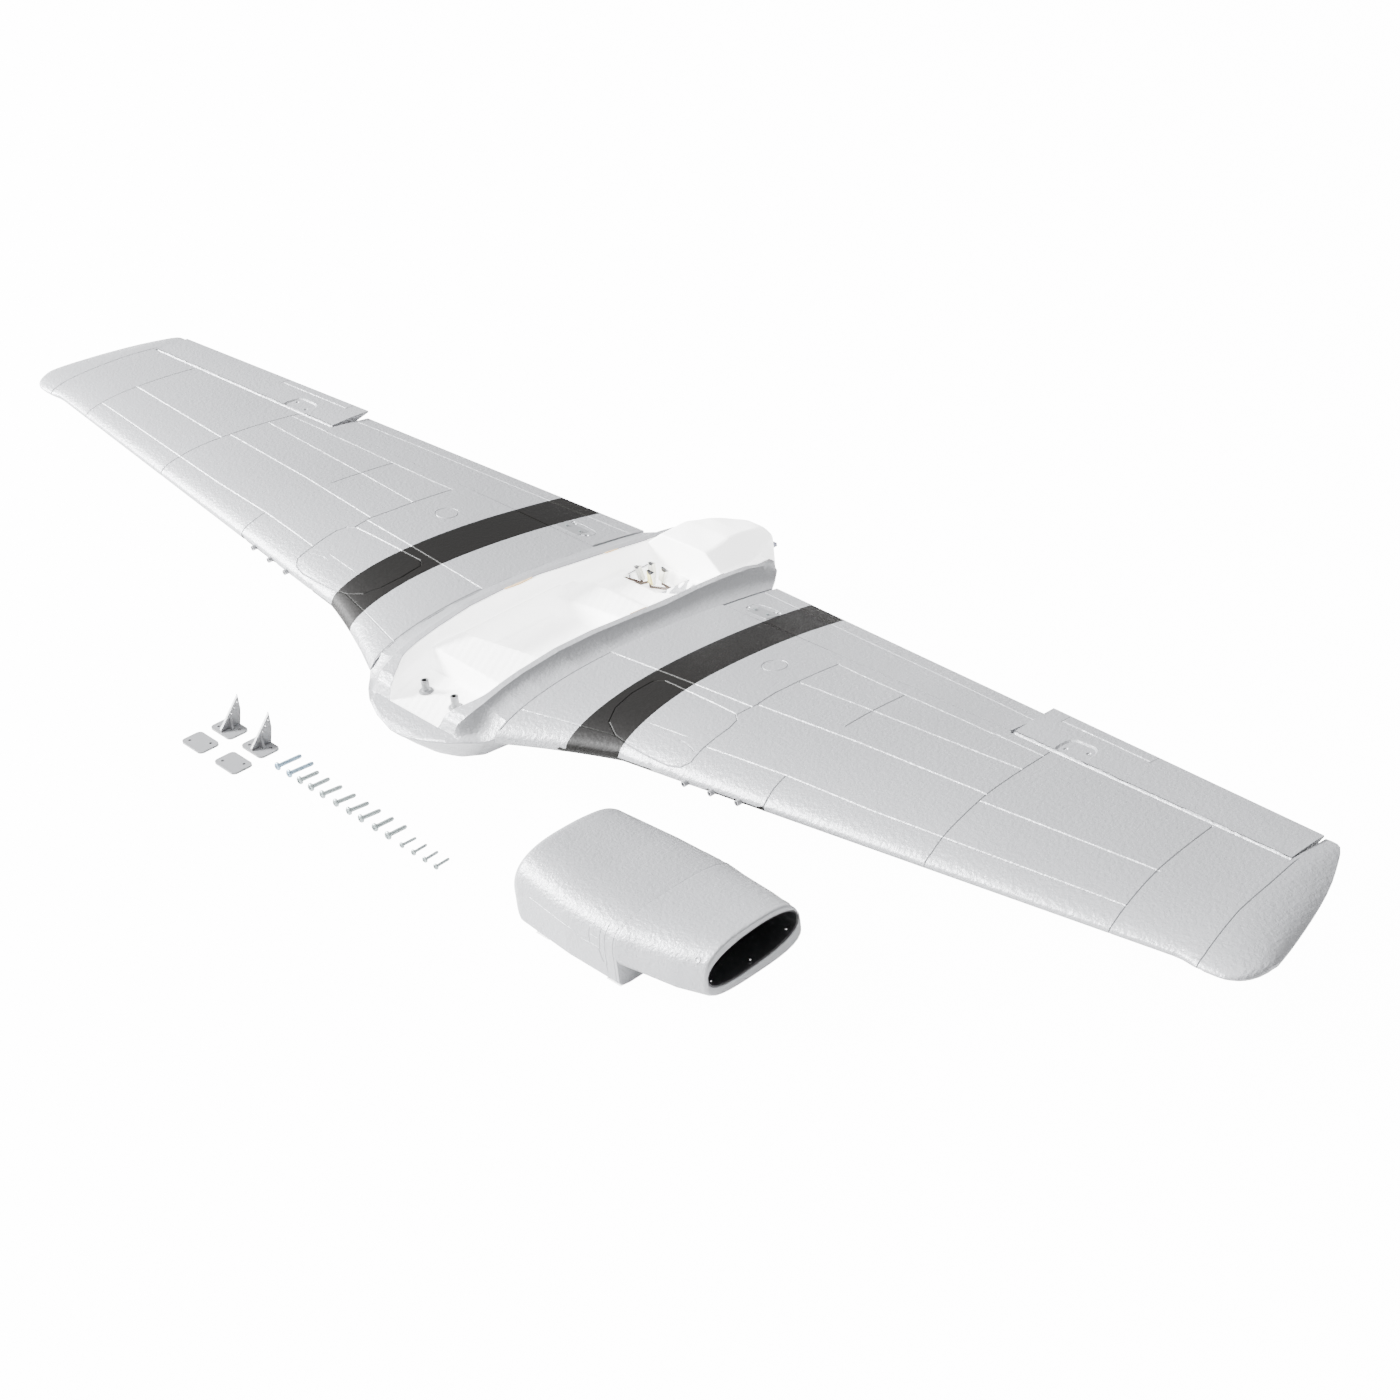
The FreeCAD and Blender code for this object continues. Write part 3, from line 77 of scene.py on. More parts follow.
# ------------------------------------------------------------------ wing section
# wing tip: x, leading edge y, trailing edge y, thickness factor
TIP = np.array([
    (560, 46.8, 166.6, 1.0), (564, 46.05, 166.38, 0.996), (568, 45.4, 165.63, 0.984),
    (571, 45.03, 163.79, 0.969), (574, 44.7, 159.68, 0.95), (577.5, 44.5, 153.17, 0.92),
    (581, 44.51, 146.27, 0.883), (585, 44.56, 137.81, 0.829), (589, 44.89, 127.75, 0.761),
    (592.5, 46.1, 117.2, 0.687), (595.5, 47.56, 106.86, 0.608), (598, 49.43, 97.3, 0.527),
    (600.2, 51.99, 88.33, 0.437), (602, 55.24, 80.2, 0.342), (603.3, 59.45, 73.25, 0.248),
    (604.2, 65.6, 67.8, 0.149)])
TIP_START, TIP_END = TIP[0, 0], TIP[-1, 0]
TIP_TRAIL_Y = TIP[0, 2]
ROOT_BEND_X = 154       # inboard of this the leading edge sweeps forward
TRAIL_BEND_X = 347      # the trailing edge changes direction here
NOSE_STRETCH = 0.037    # spreads the flat coordinates around the leading edge
TRAIL_HALF = 0.6        # half thickness at the trailing edge


def tip_value(x, column):
    return np.interp(x, TIP[:, 0], TIP[:, column])


def straight_lead_y(x):
    return 11.4 + 0.0632 * x


def straight_trail_y(x):
    return 244.0 - 0.1465 * x


def lead_y(x):
    x = np.asarray(x, float)
    inboard = np.maximum(0, ROOT_BEND_X - x)
    y = straight_lead_y(x) - (0.19 * inboard + 0.0010 * inboard * inboard)
    return np.where(x > TIP_START, tip_value(x, 1), y)


def trail_y(x):
    x = np.asarray(x, float)
    y = straight_trail_y(np.minimum(x, TRAIL_BEND_X))
    y = np.where(x > TRAIL_BEND_X,
                 y + (x - TRAIL_BEND_X) / (TIP_START - TRAIL_BEND_X) * (TIP_TRAIL_Y - y), y)
    return np.where(x > TIP_START, tip_value(x, 2), y)


def chord_z(x, y):
    """Height of the chord line, which rises towards the tip."""
    front_y, rear_y = straight_lead_y(x), straight_trail_y(x)
    front_z, rear_z = -14.6 + 0.0884 * x, -12.8 + 0.0973 * x
    return front_z + (y - front_y) / (rear_y - front_y) * (rear_z - front_z)


def thickness(x):
    """Thickness as a share of the chord."""
    x = np.asarray(x, float)
    return np.where(x > 200, 0.13 - 0.04 * (x - 200) / 400, 0.13)


def skin_z(x, y, up=True):
    """Height of the upper or lower skin: a four-digit aerofoil with 2 % camber at 40 % chord."""
    x = np.asarray(x, float)
    y = np.asarray(y, float)
    front, rear = lead_y(x), trail_y(x)
    u = np.clip((y - front) / (rear - front), 0, 1)
    chord = trail_y(np.minimum(x, TIP_START)) - straight_lead_y(x)
    scale = np.where(x > TIP_START, tip_value(x, 3), 1.0)
    shape = 0.2969 * np.sqrt(u) - 0.1260 * u - 0.3516 * u * u + 0.2843 * u ** 3 - 0.1036 * u ** 4
    half = 5 * thickness(x) * shape * chord * scale + u * TRAIL_HALF
    camber = np.where(u < 0.4, 0.02 / 0.16 * (0.8 * u - u * u),
                      0.02 / 0.36 * (0.2 + 0.8 * u - u * u)) * chord * scale
    return chord_z(x, y) + camber + np.where(up, half, -half)


def middle_z(x, y):
    return (skin_z(x, y, True) + skin_z(x, y, False)) / 2


# ------------------------------------------------------------------ mesh helpers
def unit(a):
    a = np.asarray(a, float)
    return a / np.maximum(1e-12, np.linalg.norm(a, axis=-1, keepdims=True))


def face_cross(corners):
    """Unscaled normals of triangles given by their corner positions."""
    return np.cross(corners[:, 1] - corners[:, 0], corners[:, 2] - corners[:, 0])


def vertex_normals(points, triangles):
    crosses = face_cross(points[triangles])
    out = np.zeros_like(points)
    for k in range(3):
        np.add.at(out, triangles[:, k], crosses)
    return unit(out)


def all_edges(triangles):
    return np.concatenate([triangles[:, [0, 1]], triangles[:, [1, 2]], triangles[:, [2, 0]]])


def grid_triangles(rows, columns, closed=False, paired=False):
    """Triangles of a grid of points; paired keeps the two halves of each cell together."""
    index = np.arange(rows * columns).reshape(rows, columns)
    left = index if closed else index[:, :-1]
    right = np.roll(index, -1, 1) if closed else index[:, 1:]
    quads = np.stack([left[:-1], right[:-1], right[1:], left[1:]], -1).reshape(-1, 4)
    if paired:
        return quads[:, [[0, 1, 2], [0, 2, 3]]].reshape(-1, 3)
    return np.concatenate([quads[:, [0, 1, 2]], quads[:, [0, 2, 3]]])


def facing_up(points, triangles):
    if np.median(face_cross(points[triangles])[:, 2]) < 0:
        return triangles[:, ::-1]
    return triangles


def join(parts):
    """One set of points and triangles from a list of (points, triangles)."""
    points, triangles, count = [], [], 0
    for part_points, part_triangles in parts:
        points.append(part_points)
        triangles.append(part_triangles + count)
        count += len(part_points)
    return np.concatenate(points), np.concatenate(triangles)


def revolve(profile, count, origin, axis, sides=None):
    """Surface of revolution; profile rows are (radius, height along the axis)."""
    axis = unit(np.array(axis, float))
    if sides is None:
        helper = np.array([1.0, 0, 0]) if abs(axis[0]) < 0.9 else np.array([0, 1.0, 0])
        first = unit(np.cross(axis, helper))
        sides = first, np.cross(axis, first)
    points = []
    for radius, height in profile:
        for k in range(count):
            angle = 2 * math.pi * k / count
            points.append(np.array(origin, float) + axis * height
                          + (sides[0] * math.cos(angle) + sides[1] * math.sin(angle)) * radius)
    return np.array(points), grid_triangles(len(profile), count, closed=True, paired=True)


def cad_mesh(node):
    """Welded points, triangles and corner normals of a CAD node, in millimetres."""
    me = NODES[node].data
    co = np.empty(len(me.vertices) * 3, np.float32)
    me.vertices.foreach_get("co", co)
    co = co.reshape(-1, 3).astype(float) * 1000
    me.calc_loop_triangles()
    count = len(me.loop_triangles)
    corners, loops = np.empty(count * 3, np.int32), np.empty(count * 3, np.int32)
    me.loop_triangles.foreach_get("vertices", corners)
    me.loop_triangles.foreach_get("loops", loops)
    normals = np.empty(len(me.loops) * 3, np.float32)
    me.corner_normals.foreach_get("vector", normals)
    normals = normals.reshape(-1, 3)
    unique, inverse = np.unique(np.round(co * 1000).astype(np.int64), axis=0, return_inverse=True)
    inverse = np.asarray(inverse).reshape(-1)
    points = np.zeros((len(unique), 3))
    points[inverse] = co
    tri = inverse[corners.reshape(-1, 3)]
    whole = (tri[:, 0] != tri[:, 1]) & (tri[:, 1] != tri[:, 2]) & (tri[:, 0] != tri[:, 2])
    return points, tri[whole], normals[loops].reshape(-1, 3, 3)[whole]


def add_piece(name, node, points, triangles, materials, slots=None, normals=None, smooth=True,
              slot=None, groove=None):
    """A piece that replaces a CAD node. slots: material index per triangle; normals: one per
    corner; slot: not used; groove: per-point attribute for the paint."""
    me = bpy.data.meshes.new(name)
    points = np.asarray(points, float) / 1000.0
    me.vertices.add(len(points))
    me.vertices.foreach_set("co", points.astype(np.float32).ravel())
    me.loops.add(triangles.size)
    me.loops.foreach_set("vertex_index", triangles.astype(np.int32).ravel())
    me.polygons.add(len(triangles))
    me.polygons.foreach_set("loop_start", np.arange(0, triangles.size, 3, dtype=np.int32))
    me.update(calc_edges=True)
    for material in materials:
        me.materials.append(material)
    me.polygons.foreach_set("use_smooth", [smooth] * len(me.polygons))
    if slots is not None:
        me.polygons.foreach_set("material_index", np.asarray(slots, np.int32))
    if groove is not None:
        attribute = me.attributes.new("groove", "FLOAT", "POINT")
        attribute.data.foreach_set("value", np.asarray(groove, np.float32))
    me.validate(clean_customdata=False)
    # validation may drop faces, and then the normals no longer match
    if normals is not None and normals.size == 3 * len(me.loops):
        me.normals_split_custom_set([tuple(v) for v in normals.reshape(-1, 3)])
    me.update()
    ob = bpy.data.objects.new(name, me)
    bpy.context.scene.collection.objects.link(ob)
    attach(ob, BODY[node])
    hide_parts(node)
    return ob


# ------------------------------------------------------------------ flat outlines
def distance_blocks(points, starts, ends):
    """Blocks of the points, each with its distances to every segment (2-D)."""
    along = ends - starts
    length_sq = np.maximum(1e-12, (along * along).sum(1))
    for first in range(0, len(points), 3000):
        block = slice(first, first + 3000)
        p = points[block, None, :]
        t = np.clip(((p - starts) * along).sum(2) / length_sq, 0, 1)
        nearest = starts + t[..., None] * along
        yield block, np.sqrt(((p - nearest) ** 2).sum(2))


def segment_distance(points, starts, ends):
    """Distance of each point to the nearest segment."""
    out = np.full(len(points), 1e9)
    for block, distances in distance_blocks(points, starts, ends):
        out[block] = distances.min(1)
    return out


def inside(points, starts, ends):
    """Even-odd test of points against closed loops of segments."""
    out = np.zeros(len(points), bool)
    for first in range(0, len(points), 4000):
        p = points[first:first + 4000]
        x, y = p[:, 0:1], p[:, 1:2]
        crosses = (starts[:, 1] > y) != (ends[:, 1] > y)
        with np.errstate(divide="ignore", invalid="ignore"):
            hit = (starts[:, 0] + (y - starts[:, 1]) * (ends[:, 0] - starts[:, 0])
                   / (ends[:, 1] - starts[:, 1]))
        out[first:first + 4000] = ((crosses & (x < hit)).sum(1) % 2) == 1
    return out


def densify(points, step):
    points = np.asarray(points, float)
    out = [points[0]]
    for a, b in zip(points[:-1], points[1:]):
        count = max(1, int(math.ceil(np.linalg.norm(b - a) / step)))
        for k in range(1, count + 1):
            out.append(a + (b - a) * k / count)
    return np.array(out)


def offset(line, distance):
    """A flat line moved to its left by the distance."""
    along = np.zeros_like(line)
    along[1:-1] = unit(line[2:] - line[:-2])
    along[0], along[-1] = unit(line[1] - line[0]), unit(line[-1] - line[-2])
    return line + np.stack([-along[:, 1], along[:, 0]], 1) * distance


def rounded_corner(before, corner, after, radius, steps):
    before, corner, after = (np.array(p, float) for p in (before, corner, after))
    radius = min(radius, np.linalg.norm(before - corner) * 0.45,
                 np.linalg.norm(after - corner) * 0.45)
    start = corner + unit(before - corner) * radius
    end = corner + unit(after - corner) * radius
    return [(1 - t) ** 2 * start + 2 * t * (1 - t) * corner + t * t * end
            for t in (k / steps for k in range(steps + 1))]


def round_loop(points, radius):
    """Closed polygon with rounded corners."""
    out = []
    for i, p in enumerate(points):
        out += rounded_corner(points[i - 1], p, points[(i + 1) % len(points)], radius, 5)
    return np.array(out + [out[0]])


def circle(x, y, radius, count):
    angles = [2 * math.pi * k / count for k in range(count + 1)]
    return np.array([(x + radius * math.cos(a), y + radius * math.sin(a)) for a in angles])


# ------------------------------------------------------------------ fine skins with grooves
Groove = namedtuple("Groove", "line width depth")
LINE_WIDTH = 1.15
LINE_DEPTH = 0.44

# black bands, as rows of (y, x): inner and outer edge on top
BAND_INNER = [(-50, 117.0), (17, 116.0), (89, 114.0), (182, 111.0), (228, 109.5), (300, 107)]
BAND_OUTER = [(-50, 156.0), (17, 154.0), (89, 149.0), (182, 146.0), (228, 146.0), (300, 146)]
UNDER_BANDS = ((110.0, 182.0), (228.0, 276.0))   # x ranges of the two black bands underneath
GAP_BAND = (110, 146.2)                          # x range of the band in the hinge gap


def groove(points, width=LINE_WIDTH, depth=LINE_DEPTH, step=50):
    """An engraved line in a surface's own flat coordinates."""
    return Groove(densify(points, step), width, depth)


def band_x(y, rows):
    rows = np.array(rows)
    return np.interp(y, rows[:, 0], rows[:, 1])


def within(x, limits):
    return (x > limits[0]) & (x < limits[1])


def paint_zone(p):
    """Material index of points of the wing: 0 grey, 1 black."""
    x, y = np.abs(p[:, 0]), p[:, 1]
    middle = middle_z(x, np.clip(y, lead_y(x), trail_y(x)))
    # over the second range underneath the black reaches 0.55 above the middle line, so a thin black
    # edge shows along the leading edge
    low = p[:, 2] < middle + np.where(within(x, UNDER_BANDS[1]), 0.55, 0.0)
    top = (x > band_x(y, BAND_INNER)) & (x < band_x(y, BAND_OUTER))
    under = within(x, UNDER_BANDS[0]) | within(x, UNDER_BANDS[1])
    return np.where(low, under, top).astype(int)


def split_at_x(corners, normals, cut_x):
    """Triangle corners and normals with every triangle that crosses |x| = cut_x cut along it."""
    side = np.abs(corners[:, :, 0]) - cut_x
    cross = (side.min(1) < -0.02) & (side.max(1) > 0.02)
    new_corners, new_normals = [], []
    for p, n, d in zip(corners[cross], normals[cross], side[cross]):
        g = d > 0
        # a is the corner alone on its side, b and c are the other two
        a = 0 if g[1] == g[2] else (1 if g[0] == g[2] else 2)
        b, c = (a + 1) % 3, (a + 2) % 3
        u, v = d[a] / (d[a] - d[b]), d[a] / (d[a] - d[c])
        for q, out in ((p, new_corners), (n, new_normals)):
            on_b, on_c = q[a] + (q[b] - q[a]) * u, q[a] + (q[c] - q[a]) * v
            out += [(q[a], on_b, on_c), (on_b, q[b], q[c]), (on_b, q[c], on_c)]
    if not new_corners:
        return corners, normals
    return (np.concatenate([corners[~cross], np.array(new_corners)]),
            np.concatenate([normals[~cross], np.array(new_normals)]))


def surface_normal(surface, flat):
    h = 0.02
    a = surface(flat + np.array([h, 0])) - surface(flat - np.array([h, 0]))
    b = surface(flat + np.array([0, h])) - surface(flat - np.array([0, h]))
    return unit(np.cross(a, b))


def on_surface(points, triangles, to_flat, surface, tolerance, x_limit):
    """Which triangles of a CAD node lie on its smooth surface."""
    close = np.linalg.norm(surface(to_flat(points)) - points, axis=1) < tolerance
    corners = points[triangles]
    middle = corners.mean(1)
    flat_middle = to_flat(middle)
    gap = np.linalg.norm(surface(flat_middle) - middle, axis=1)
    facing = (unit(face_cross(corners)) * surface_normal(surface, flat_middle)).sum(1)
    on = close[triangles].all(1) & (gap < tolerance + 0.35) & (facing > 0.55)
    return on & (corners[:, :, 0].max(1) < x_limit)


def constraint_lines(flat, boundary, grooves, edges):
    """Flat vertices and links the triangulation has to follow."""
    vertices, links, place = [], [], {}
    for a, b in boundary:
        for i in (a, b):
            if i not in place:
                place[i] = len(vertices)
                vertices.append(tuple(flat[i]))
        links.append((place[a], place[b]))
    lines = []
    for g in grooves:
        lines += [g.line, offset(g.line, g.width / 2), offset(g.line, -g.width / 2)]
    lines += [densify(edge, 6.0) for edge in edges]
    for line in lines:
        first = len(vertices)
        vertices.extend(tuple(p) for p in line)
        links.extend((first + i, first + i + 1) for i in range(len(line) - 1))
    return vertices, links


def triangulate(vertices, links, starts, ends, spacing):
    """Fill the boundary with a grid of points and triangles."""
    low, high = np.minimum(starts, ends).min(0), np.maximum(starts, ends).max(0)
    grid_x, grid_y = (np.arange(low[i] + spacing[i] * 0.5, high[i], spacing[i]) for i in (0, 1))
    grid = np.stack(np.meshgrid(grid_x, grid_y), -1).reshape(-1, 2)
    grid = grid[inside(grid, starts, ends)]
    link_starts = np.array([vertices[a] for a, b in links])
    link_ends = np.array([vertices[b] for a, b in links])
    grid = grid[segment_distance(grid, link_starts, link_ends) > 0.30 * min(spacing)]
    seeds = [Vector((float(p[0]), float(p[1]))) for p in (*vertices, *grid)]
    result = delaunay_2d_cdt(seeds, links, [], 0, 1e-5)
    flat = np.array([(v.x, v.y) for v in result[0]])
    triangles = np.array([tuple(f) for f in result[2]], int)
    return flat, triangles[inside(flat[triangles].mean(1), starts, ends)]


def groove_depth(flat, grooves):
    """Depth of the engraving at each point, and its strength from 0 to 1."""
    starts = np.concatenate([g.line[:-1] for g in grooves])
    ends = np.concatenate([g.line[1:] for g in grooves])
    counts = [len(g.line) - 1 for g in grooves]
    half_widths = np.repeat([g.width for g in grooves], counts) / 2
    depths = np.repeat([g.depth for g in grooves], counts)
    depth, strength = np.zeros(len(flat)), np.zeros(len(flat))
    for block, distances in distance_blocks(flat, starts, ends):
        shape = np.clip((half_widths - distances) / half_widths, 0, 1)
        shape[shape < 0.02] = 0
        depth[block] = (shape * depths).max(1)
        strength[block] = shape.max(1)
    return depth, strength


def kept_faces(corners, normals, gap_facing):
    """The faces of the node that stay as they are, cut along the edges of the bands."""
    for cut_x in (UNDER_BANDS[0][0], GAP_BAND[1], UNDER_BANDS[0][1], *UNDER_BANDS[1]):
        corners, normals = split_at_x(corners, normals, cut_x)
    points, inverse = np.unique(corners.reshape(-1, 3).round(4), axis=0, return_inverse=True)
    tri = inverse.reshape(-1, 3)
    whole = (tri[:, 0] != tri[:, 1]) & (tri[:, 1] != tri[:, 2]) & (tri[:, 0] != tri[:, 2])
    corners, normals, tri = corners[whole], normals[whole], tri[whole]
    # in the hinge gap only the upper band runs on
    in_gap = unit(face_cross(corners))[:, 1] * gap_facing > 0.6
    gap_x = np.abs(corners[:, :, 0]).mean(1)
    return points, tri, normals, np.where(in_gap, within(gap_x, GAP_BAND),
                                          paint_zone(corners.mean(1)))


def fine_skin(part, to_flat, surface, grooves, edges, spacing, gap_facing, tolerance=0.45,
              dents=None, x_limit=1e9):
    """Fine mesh for the smooth skin of a left-hand node, and its mirror on the right.
    to_flat(points) -> flat coordinates; surface(flat) -> points; faces of the node on the
    surface are replaced, the others (pockets, walls, cut-outs) are kept. gap_facing: the
    direction in y in which the walls of the hinge gap face."""
    points, triangles, corner_normals = cad_mesh(part + "_left")
    on = on_surface(points, triangles, to_flat, surface, tolerance, x_limit)
    sheet_edges = all_edges(triangles[on])
    _, first, count = np.unique(np.sort(sheet_edges, 1), axis=0, return_index=True,
                                return_counts=True)
    boundary = sheet_edges[first[count == 1]]
    cad_flat = to_flat(points)
    starts, ends = cad_flat[boundary[:, 0]], cad_flat[boundary[:, 1]]
    vertices, links = constraint_lines(cad_flat, boundary, grooves, edges)
    flat, tri = triangulate(vertices, links, starts, ends, spacing)
    zones = paint_zone(surface(flat[tri].mean(1)))

    depth, strength = groove_depth(flat, grooves)
    engraved = (strength[tri] > 0.001).any(1)
    if dents is not None:
        dent = dents(flat)
        depth = depth + dent
        engraved |= np.ptp(dent[tri], axis=1) > 0.02
    outward = surface_normal(surface, flat)
    sunk = surface(flat) - outward * depth[:, None]
    crosses = face_cross(sunk[tri])
    flip = (crosses * outward[tri[:, 0]]).sum(1) < 0
    tri[flip] = tri[flip][:, [0, 2, 1]]
    crosses[flip] *= -1
    normals = outward[tri]
    normals[engraved] = unit(crosses)[engraved][:, None, :]

    used = np.zeros(len(flat), bool)
    used[tri.ravel()] = True
    renumber = -np.ones(len(flat), int)
    renumber[used] = np.arange(used.sum())
    kept_points, kept_tri, kept_normals, kept_zones = kept_faces(
        points[triangles[~on]], corner_normals[~on], gap_facing)
    all_points, all_tri = join([(sunk[used], renumber[tri]), (kept_points, kept_tri)])
    normals = np.concatenate([normals, kept_normals])
    zones = np.concatenate([zones, kept_zones])
    strength = np.concatenate([strength[used], np.zeros(len(kept_points))])
    for side, sign in SIDES:
        if sign < 0:
            all_points, all_tri = all_points * MIRROR, all_tri[:, [0, 2, 1]]
            normals = (normals * MIRROR)[:, [0, 2, 1]]
        add_piece(f"{part}_{side}_skin", f"{part}_{side}", all_points, all_tri, [GREY, BLACK],
                  zones, normals, slot=PAINT_SLOT, groove=strength)


# ------------------------------------------------------------------ shader helpers
def new_material(name):
    material = bpy.data.materials.new(name)
    material.use_nodes = True
    tree = material.node_tree
    tree.nodes.clear()
    output = tree.nodes.new("ShaderNodeOutputMaterial")
    shader = tree.nodes.new("ShaderNodeBsdfPrincipled")
    tree.links.new(shader.outputs[0], output.inputs[0])
    return material, tree, shader


def feed(tree, socket, value):
    """Link an output to the socket, or set its value."""
    if isinstance(value, bpy.types.NodeSocket):
        tree.links.new(value, socket)
    else:
        socket.default_value = value


def scaled_coords(tree, scale):
    coords = tree.nodes.new("ShaderNodeTexCoord")
    node = tree.nodes.new("ShaderNodeVectorMath")
    node.operation = "SCALE"
    node.inputs["Scale"].default_value = scale
    tree.links.new(coords.outputs["Object"], node.inputs[0])
    return node.outputs[0]


def noise(tree, scale, detail):
    node = tree.nodes.new("ShaderNodeTexNoise")
    node.inputs["Scale"].default_value = 1.0
    node.inputs["Detail"].default_value = detail
    node.inputs["Roughness"].default_value = 0.55
    tree.links.new(scaled_coords(tree, scale), node.inputs["Vector"])
    return node.outputs["Fac"]


def voronoi(tree, scale, feature, randomness=1.0):
    node = tree.nodes.new("ShaderNodeTexVoronoi")
    node.feature = feature
    node.inputs["Scale"].default_value = 1.0
    node.inputs["Randomness"].default_value = randomness
    tree.links.new(scaled_coords(tree, scale), node.inputs["Vector"])
    return node.outputs["Distance"]


def grey(value):
    return (value,) * 3


def scaled(colour, factor):
    return tuple(min(1.0, c * factor) for c in colour)


def ramp(tree, value, *stops):
    """Colour ramp with two stops of (position, colour)."""
    node = tree.nodes.new("ShaderNodeValToRGB")
    for element, (position, colour) in zip(node.color_ramp.elements, stops):
        element.position, element.color = position, tuple(colour) + (1,)
    tree.links.new(value, node.inputs[0])
    return node.outputs[0]


def calc(tree, operation, a, b, clamp=False):
    node = tree.nodes.new("ShaderNodeMath")
    node.operation = operation
    node.use_clamp = clamp
    feed(tree, node.inputs[0], a)
    feed(tree, node.inputs[1], b)
    return node.outputs[0]


def mix(tree, factor, a, b, mode="MIX"):
    node = tree.nodes.new("ShaderNodeMix")
    node.data_type = "RGBA"
    node.blend_type = mode
    for index, value in ((0, factor), (6, a), (7, b)):
        feed(tree, node.inputs[index], value)
    return node.outputs[2]


def bump(tree, shader, parts, distance=0.001):
    """parts: list of (height output, weight)."""
    total = None
    for height, weight in parts:
        share = calc(tree, "MULTIPLY", height, weight)
        total = share if total is None else calc(tree, "ADD", total, share)
    node = tree.nodes.new("ShaderNodeBump")
    node.inputs["Strength"].default_value = 1.0
    node.inputs["Distance"].default_value = distance
    tree.links.new(total, node.inputs["Height"])
    tree.links.new(node.outputs[0], shader.inputs["Normal"])


# ------------------------------------------------------------------ materials
def paint(name, base, rough, metal, bead, grain, spec, line, dust):
    """Satin sprayed coat over moulded foam beads, with painted shade darkening the engraved lines.
    bead, grain: bump weights; line: share of the coat's colour left in a line under the painted
    shade; dust: how far the colour wanders."""
    material, tree, shader = new_material(name)
    broad = noise(tree, scale=9.0, detail=2.0)
    fine = noise(tree, scale=900.0, detail=2.0)
    colour = ramp(tree, broad, (0.3, scaled(base, 1 - dust)), (0.7, scaled(base, 1 + dust)))
    speck = ramp(tree, noise(tree, scale=2300.0, detail=1.0), (0.30, grey(0.90)), (0.55, grey(1)))
    colour = mix(tree, 1.0, colour, speck, "MULTIPLY")
    # painted shade: the colour darkens where the groove attribute marks an engraved line
    attribute = tree.nodes.new("ShaderNodeAttribute")
    attribute.attribute_name = "groove"
    engraved = calc(tree, "MULTIPLY", attribute.outputs["Fac"], 1.0 - line, clamp=True)
    dark = (base[0] * 0.22, base[1] * 0.22, base[2] * 0.23, 1)
    colour = mix(tree, engraved, colour, dark)
    tree.links.new(colour, shader.inputs["Base Color"])
    roughness = ramp(tree, fine, (0.3, grey(rough - 0.05)), (0.7, grey(rough + 0.07)))
    tree.links.new(roughness, shader.inputs["Roughness"])
    shader.inputs["Metallic"].default_value = metal
    shader.inputs["Specular IOR Level"].default_value = spec
    cells = voronoi(tree, scale=430.0, feature="SMOOTH_F1")
    waves = noise(tree, scale=160.0, detail=2.0)
    bump(tree, shader, [(cells, bead), (fine, grain), (waves, 0.10)], distance=0.0012)
    return material


def foam(name, base):
    """Bare bead foam with faint seams between the beads, and a painted glow: a little emission
    brightens it though it is no lamp.
    """
    material, tree, shader = new_material(name)
    cells = voronoi(tree, scale=330.0, feature="DISTANCE_TO_EDGE", randomness=0.95)
    seam = ramp(tree, cells, (0.0, scaled(base, 0.93)), (0.12, base))
    tree.links.new(seam, shader.inputs["Base Color"])
    # painted light: the white emission makes the foam glow
    for key, value in (("Roughness", 0.62), ("Emission Color", (1, 1, 1, 1)),
                       ("Emission Strength", 1.7), ("Subsurface Weight", 0.15),
                       ("Subsurface Radius", (0.004, 0.004, 0.004))):
        shader.inputs[key].default_value = value
    beads = ramp(tree, cells, (0.0, grey(0)), (0.16, grey(1)))
    bump(tree, shader, [(beads, 0.05), (noise(tree, scale=700.0, detail=3.0), 0.05)])
    return material


def plain(name, base, rough, metal, scale, bump_weight, variation):
    material, tree, shader = new_material(name)
    grain = noise(tree, scale, detail=4.0)
    colour = ramp(tree, grain, (0.25, scaled(base, 1 - variation)),
                  (0.75, scaled(base, 1 + variation)))
    tree.links.new(colour, shader.inputs["Base Color"])
    roughness = ramp(tree, noise(tree, scale * 1.7, detail=2.0),
                     (0.3, grey(max(0.02, rough - 0.06))), (0.7, grey(min(1, rough + 0.08))))
    tree.links.new(roughness, shader.inputs["Roughness"])
    shader.inputs["Metallic"].default_value = metal
    shader.inputs["Specular IOR Level"].default_value = 0.5
    bump(tree, shader, [(grain, bump_weight)])
    return material


GREY = paint("grey_foam_paint", (0.262, 0.266, 0.279), rough=0.42, metal=0.25, bead=0.22,
             grain=0.20, spec=0.5, line=0.86, dust=0.04)
# the black paint also serves as painted shade under the gun muzzles
BLACK = paint("black_band_paint_and_shade", (0.0045, 0.0042, 0.0040), rough=0.45, metal=0.0, bead=0.055,
              grain=0.05, spec=0.12, line=0.2, dust=0.05)
WHITE = foam("white_foam", (0.90, 0.90, 0.895))

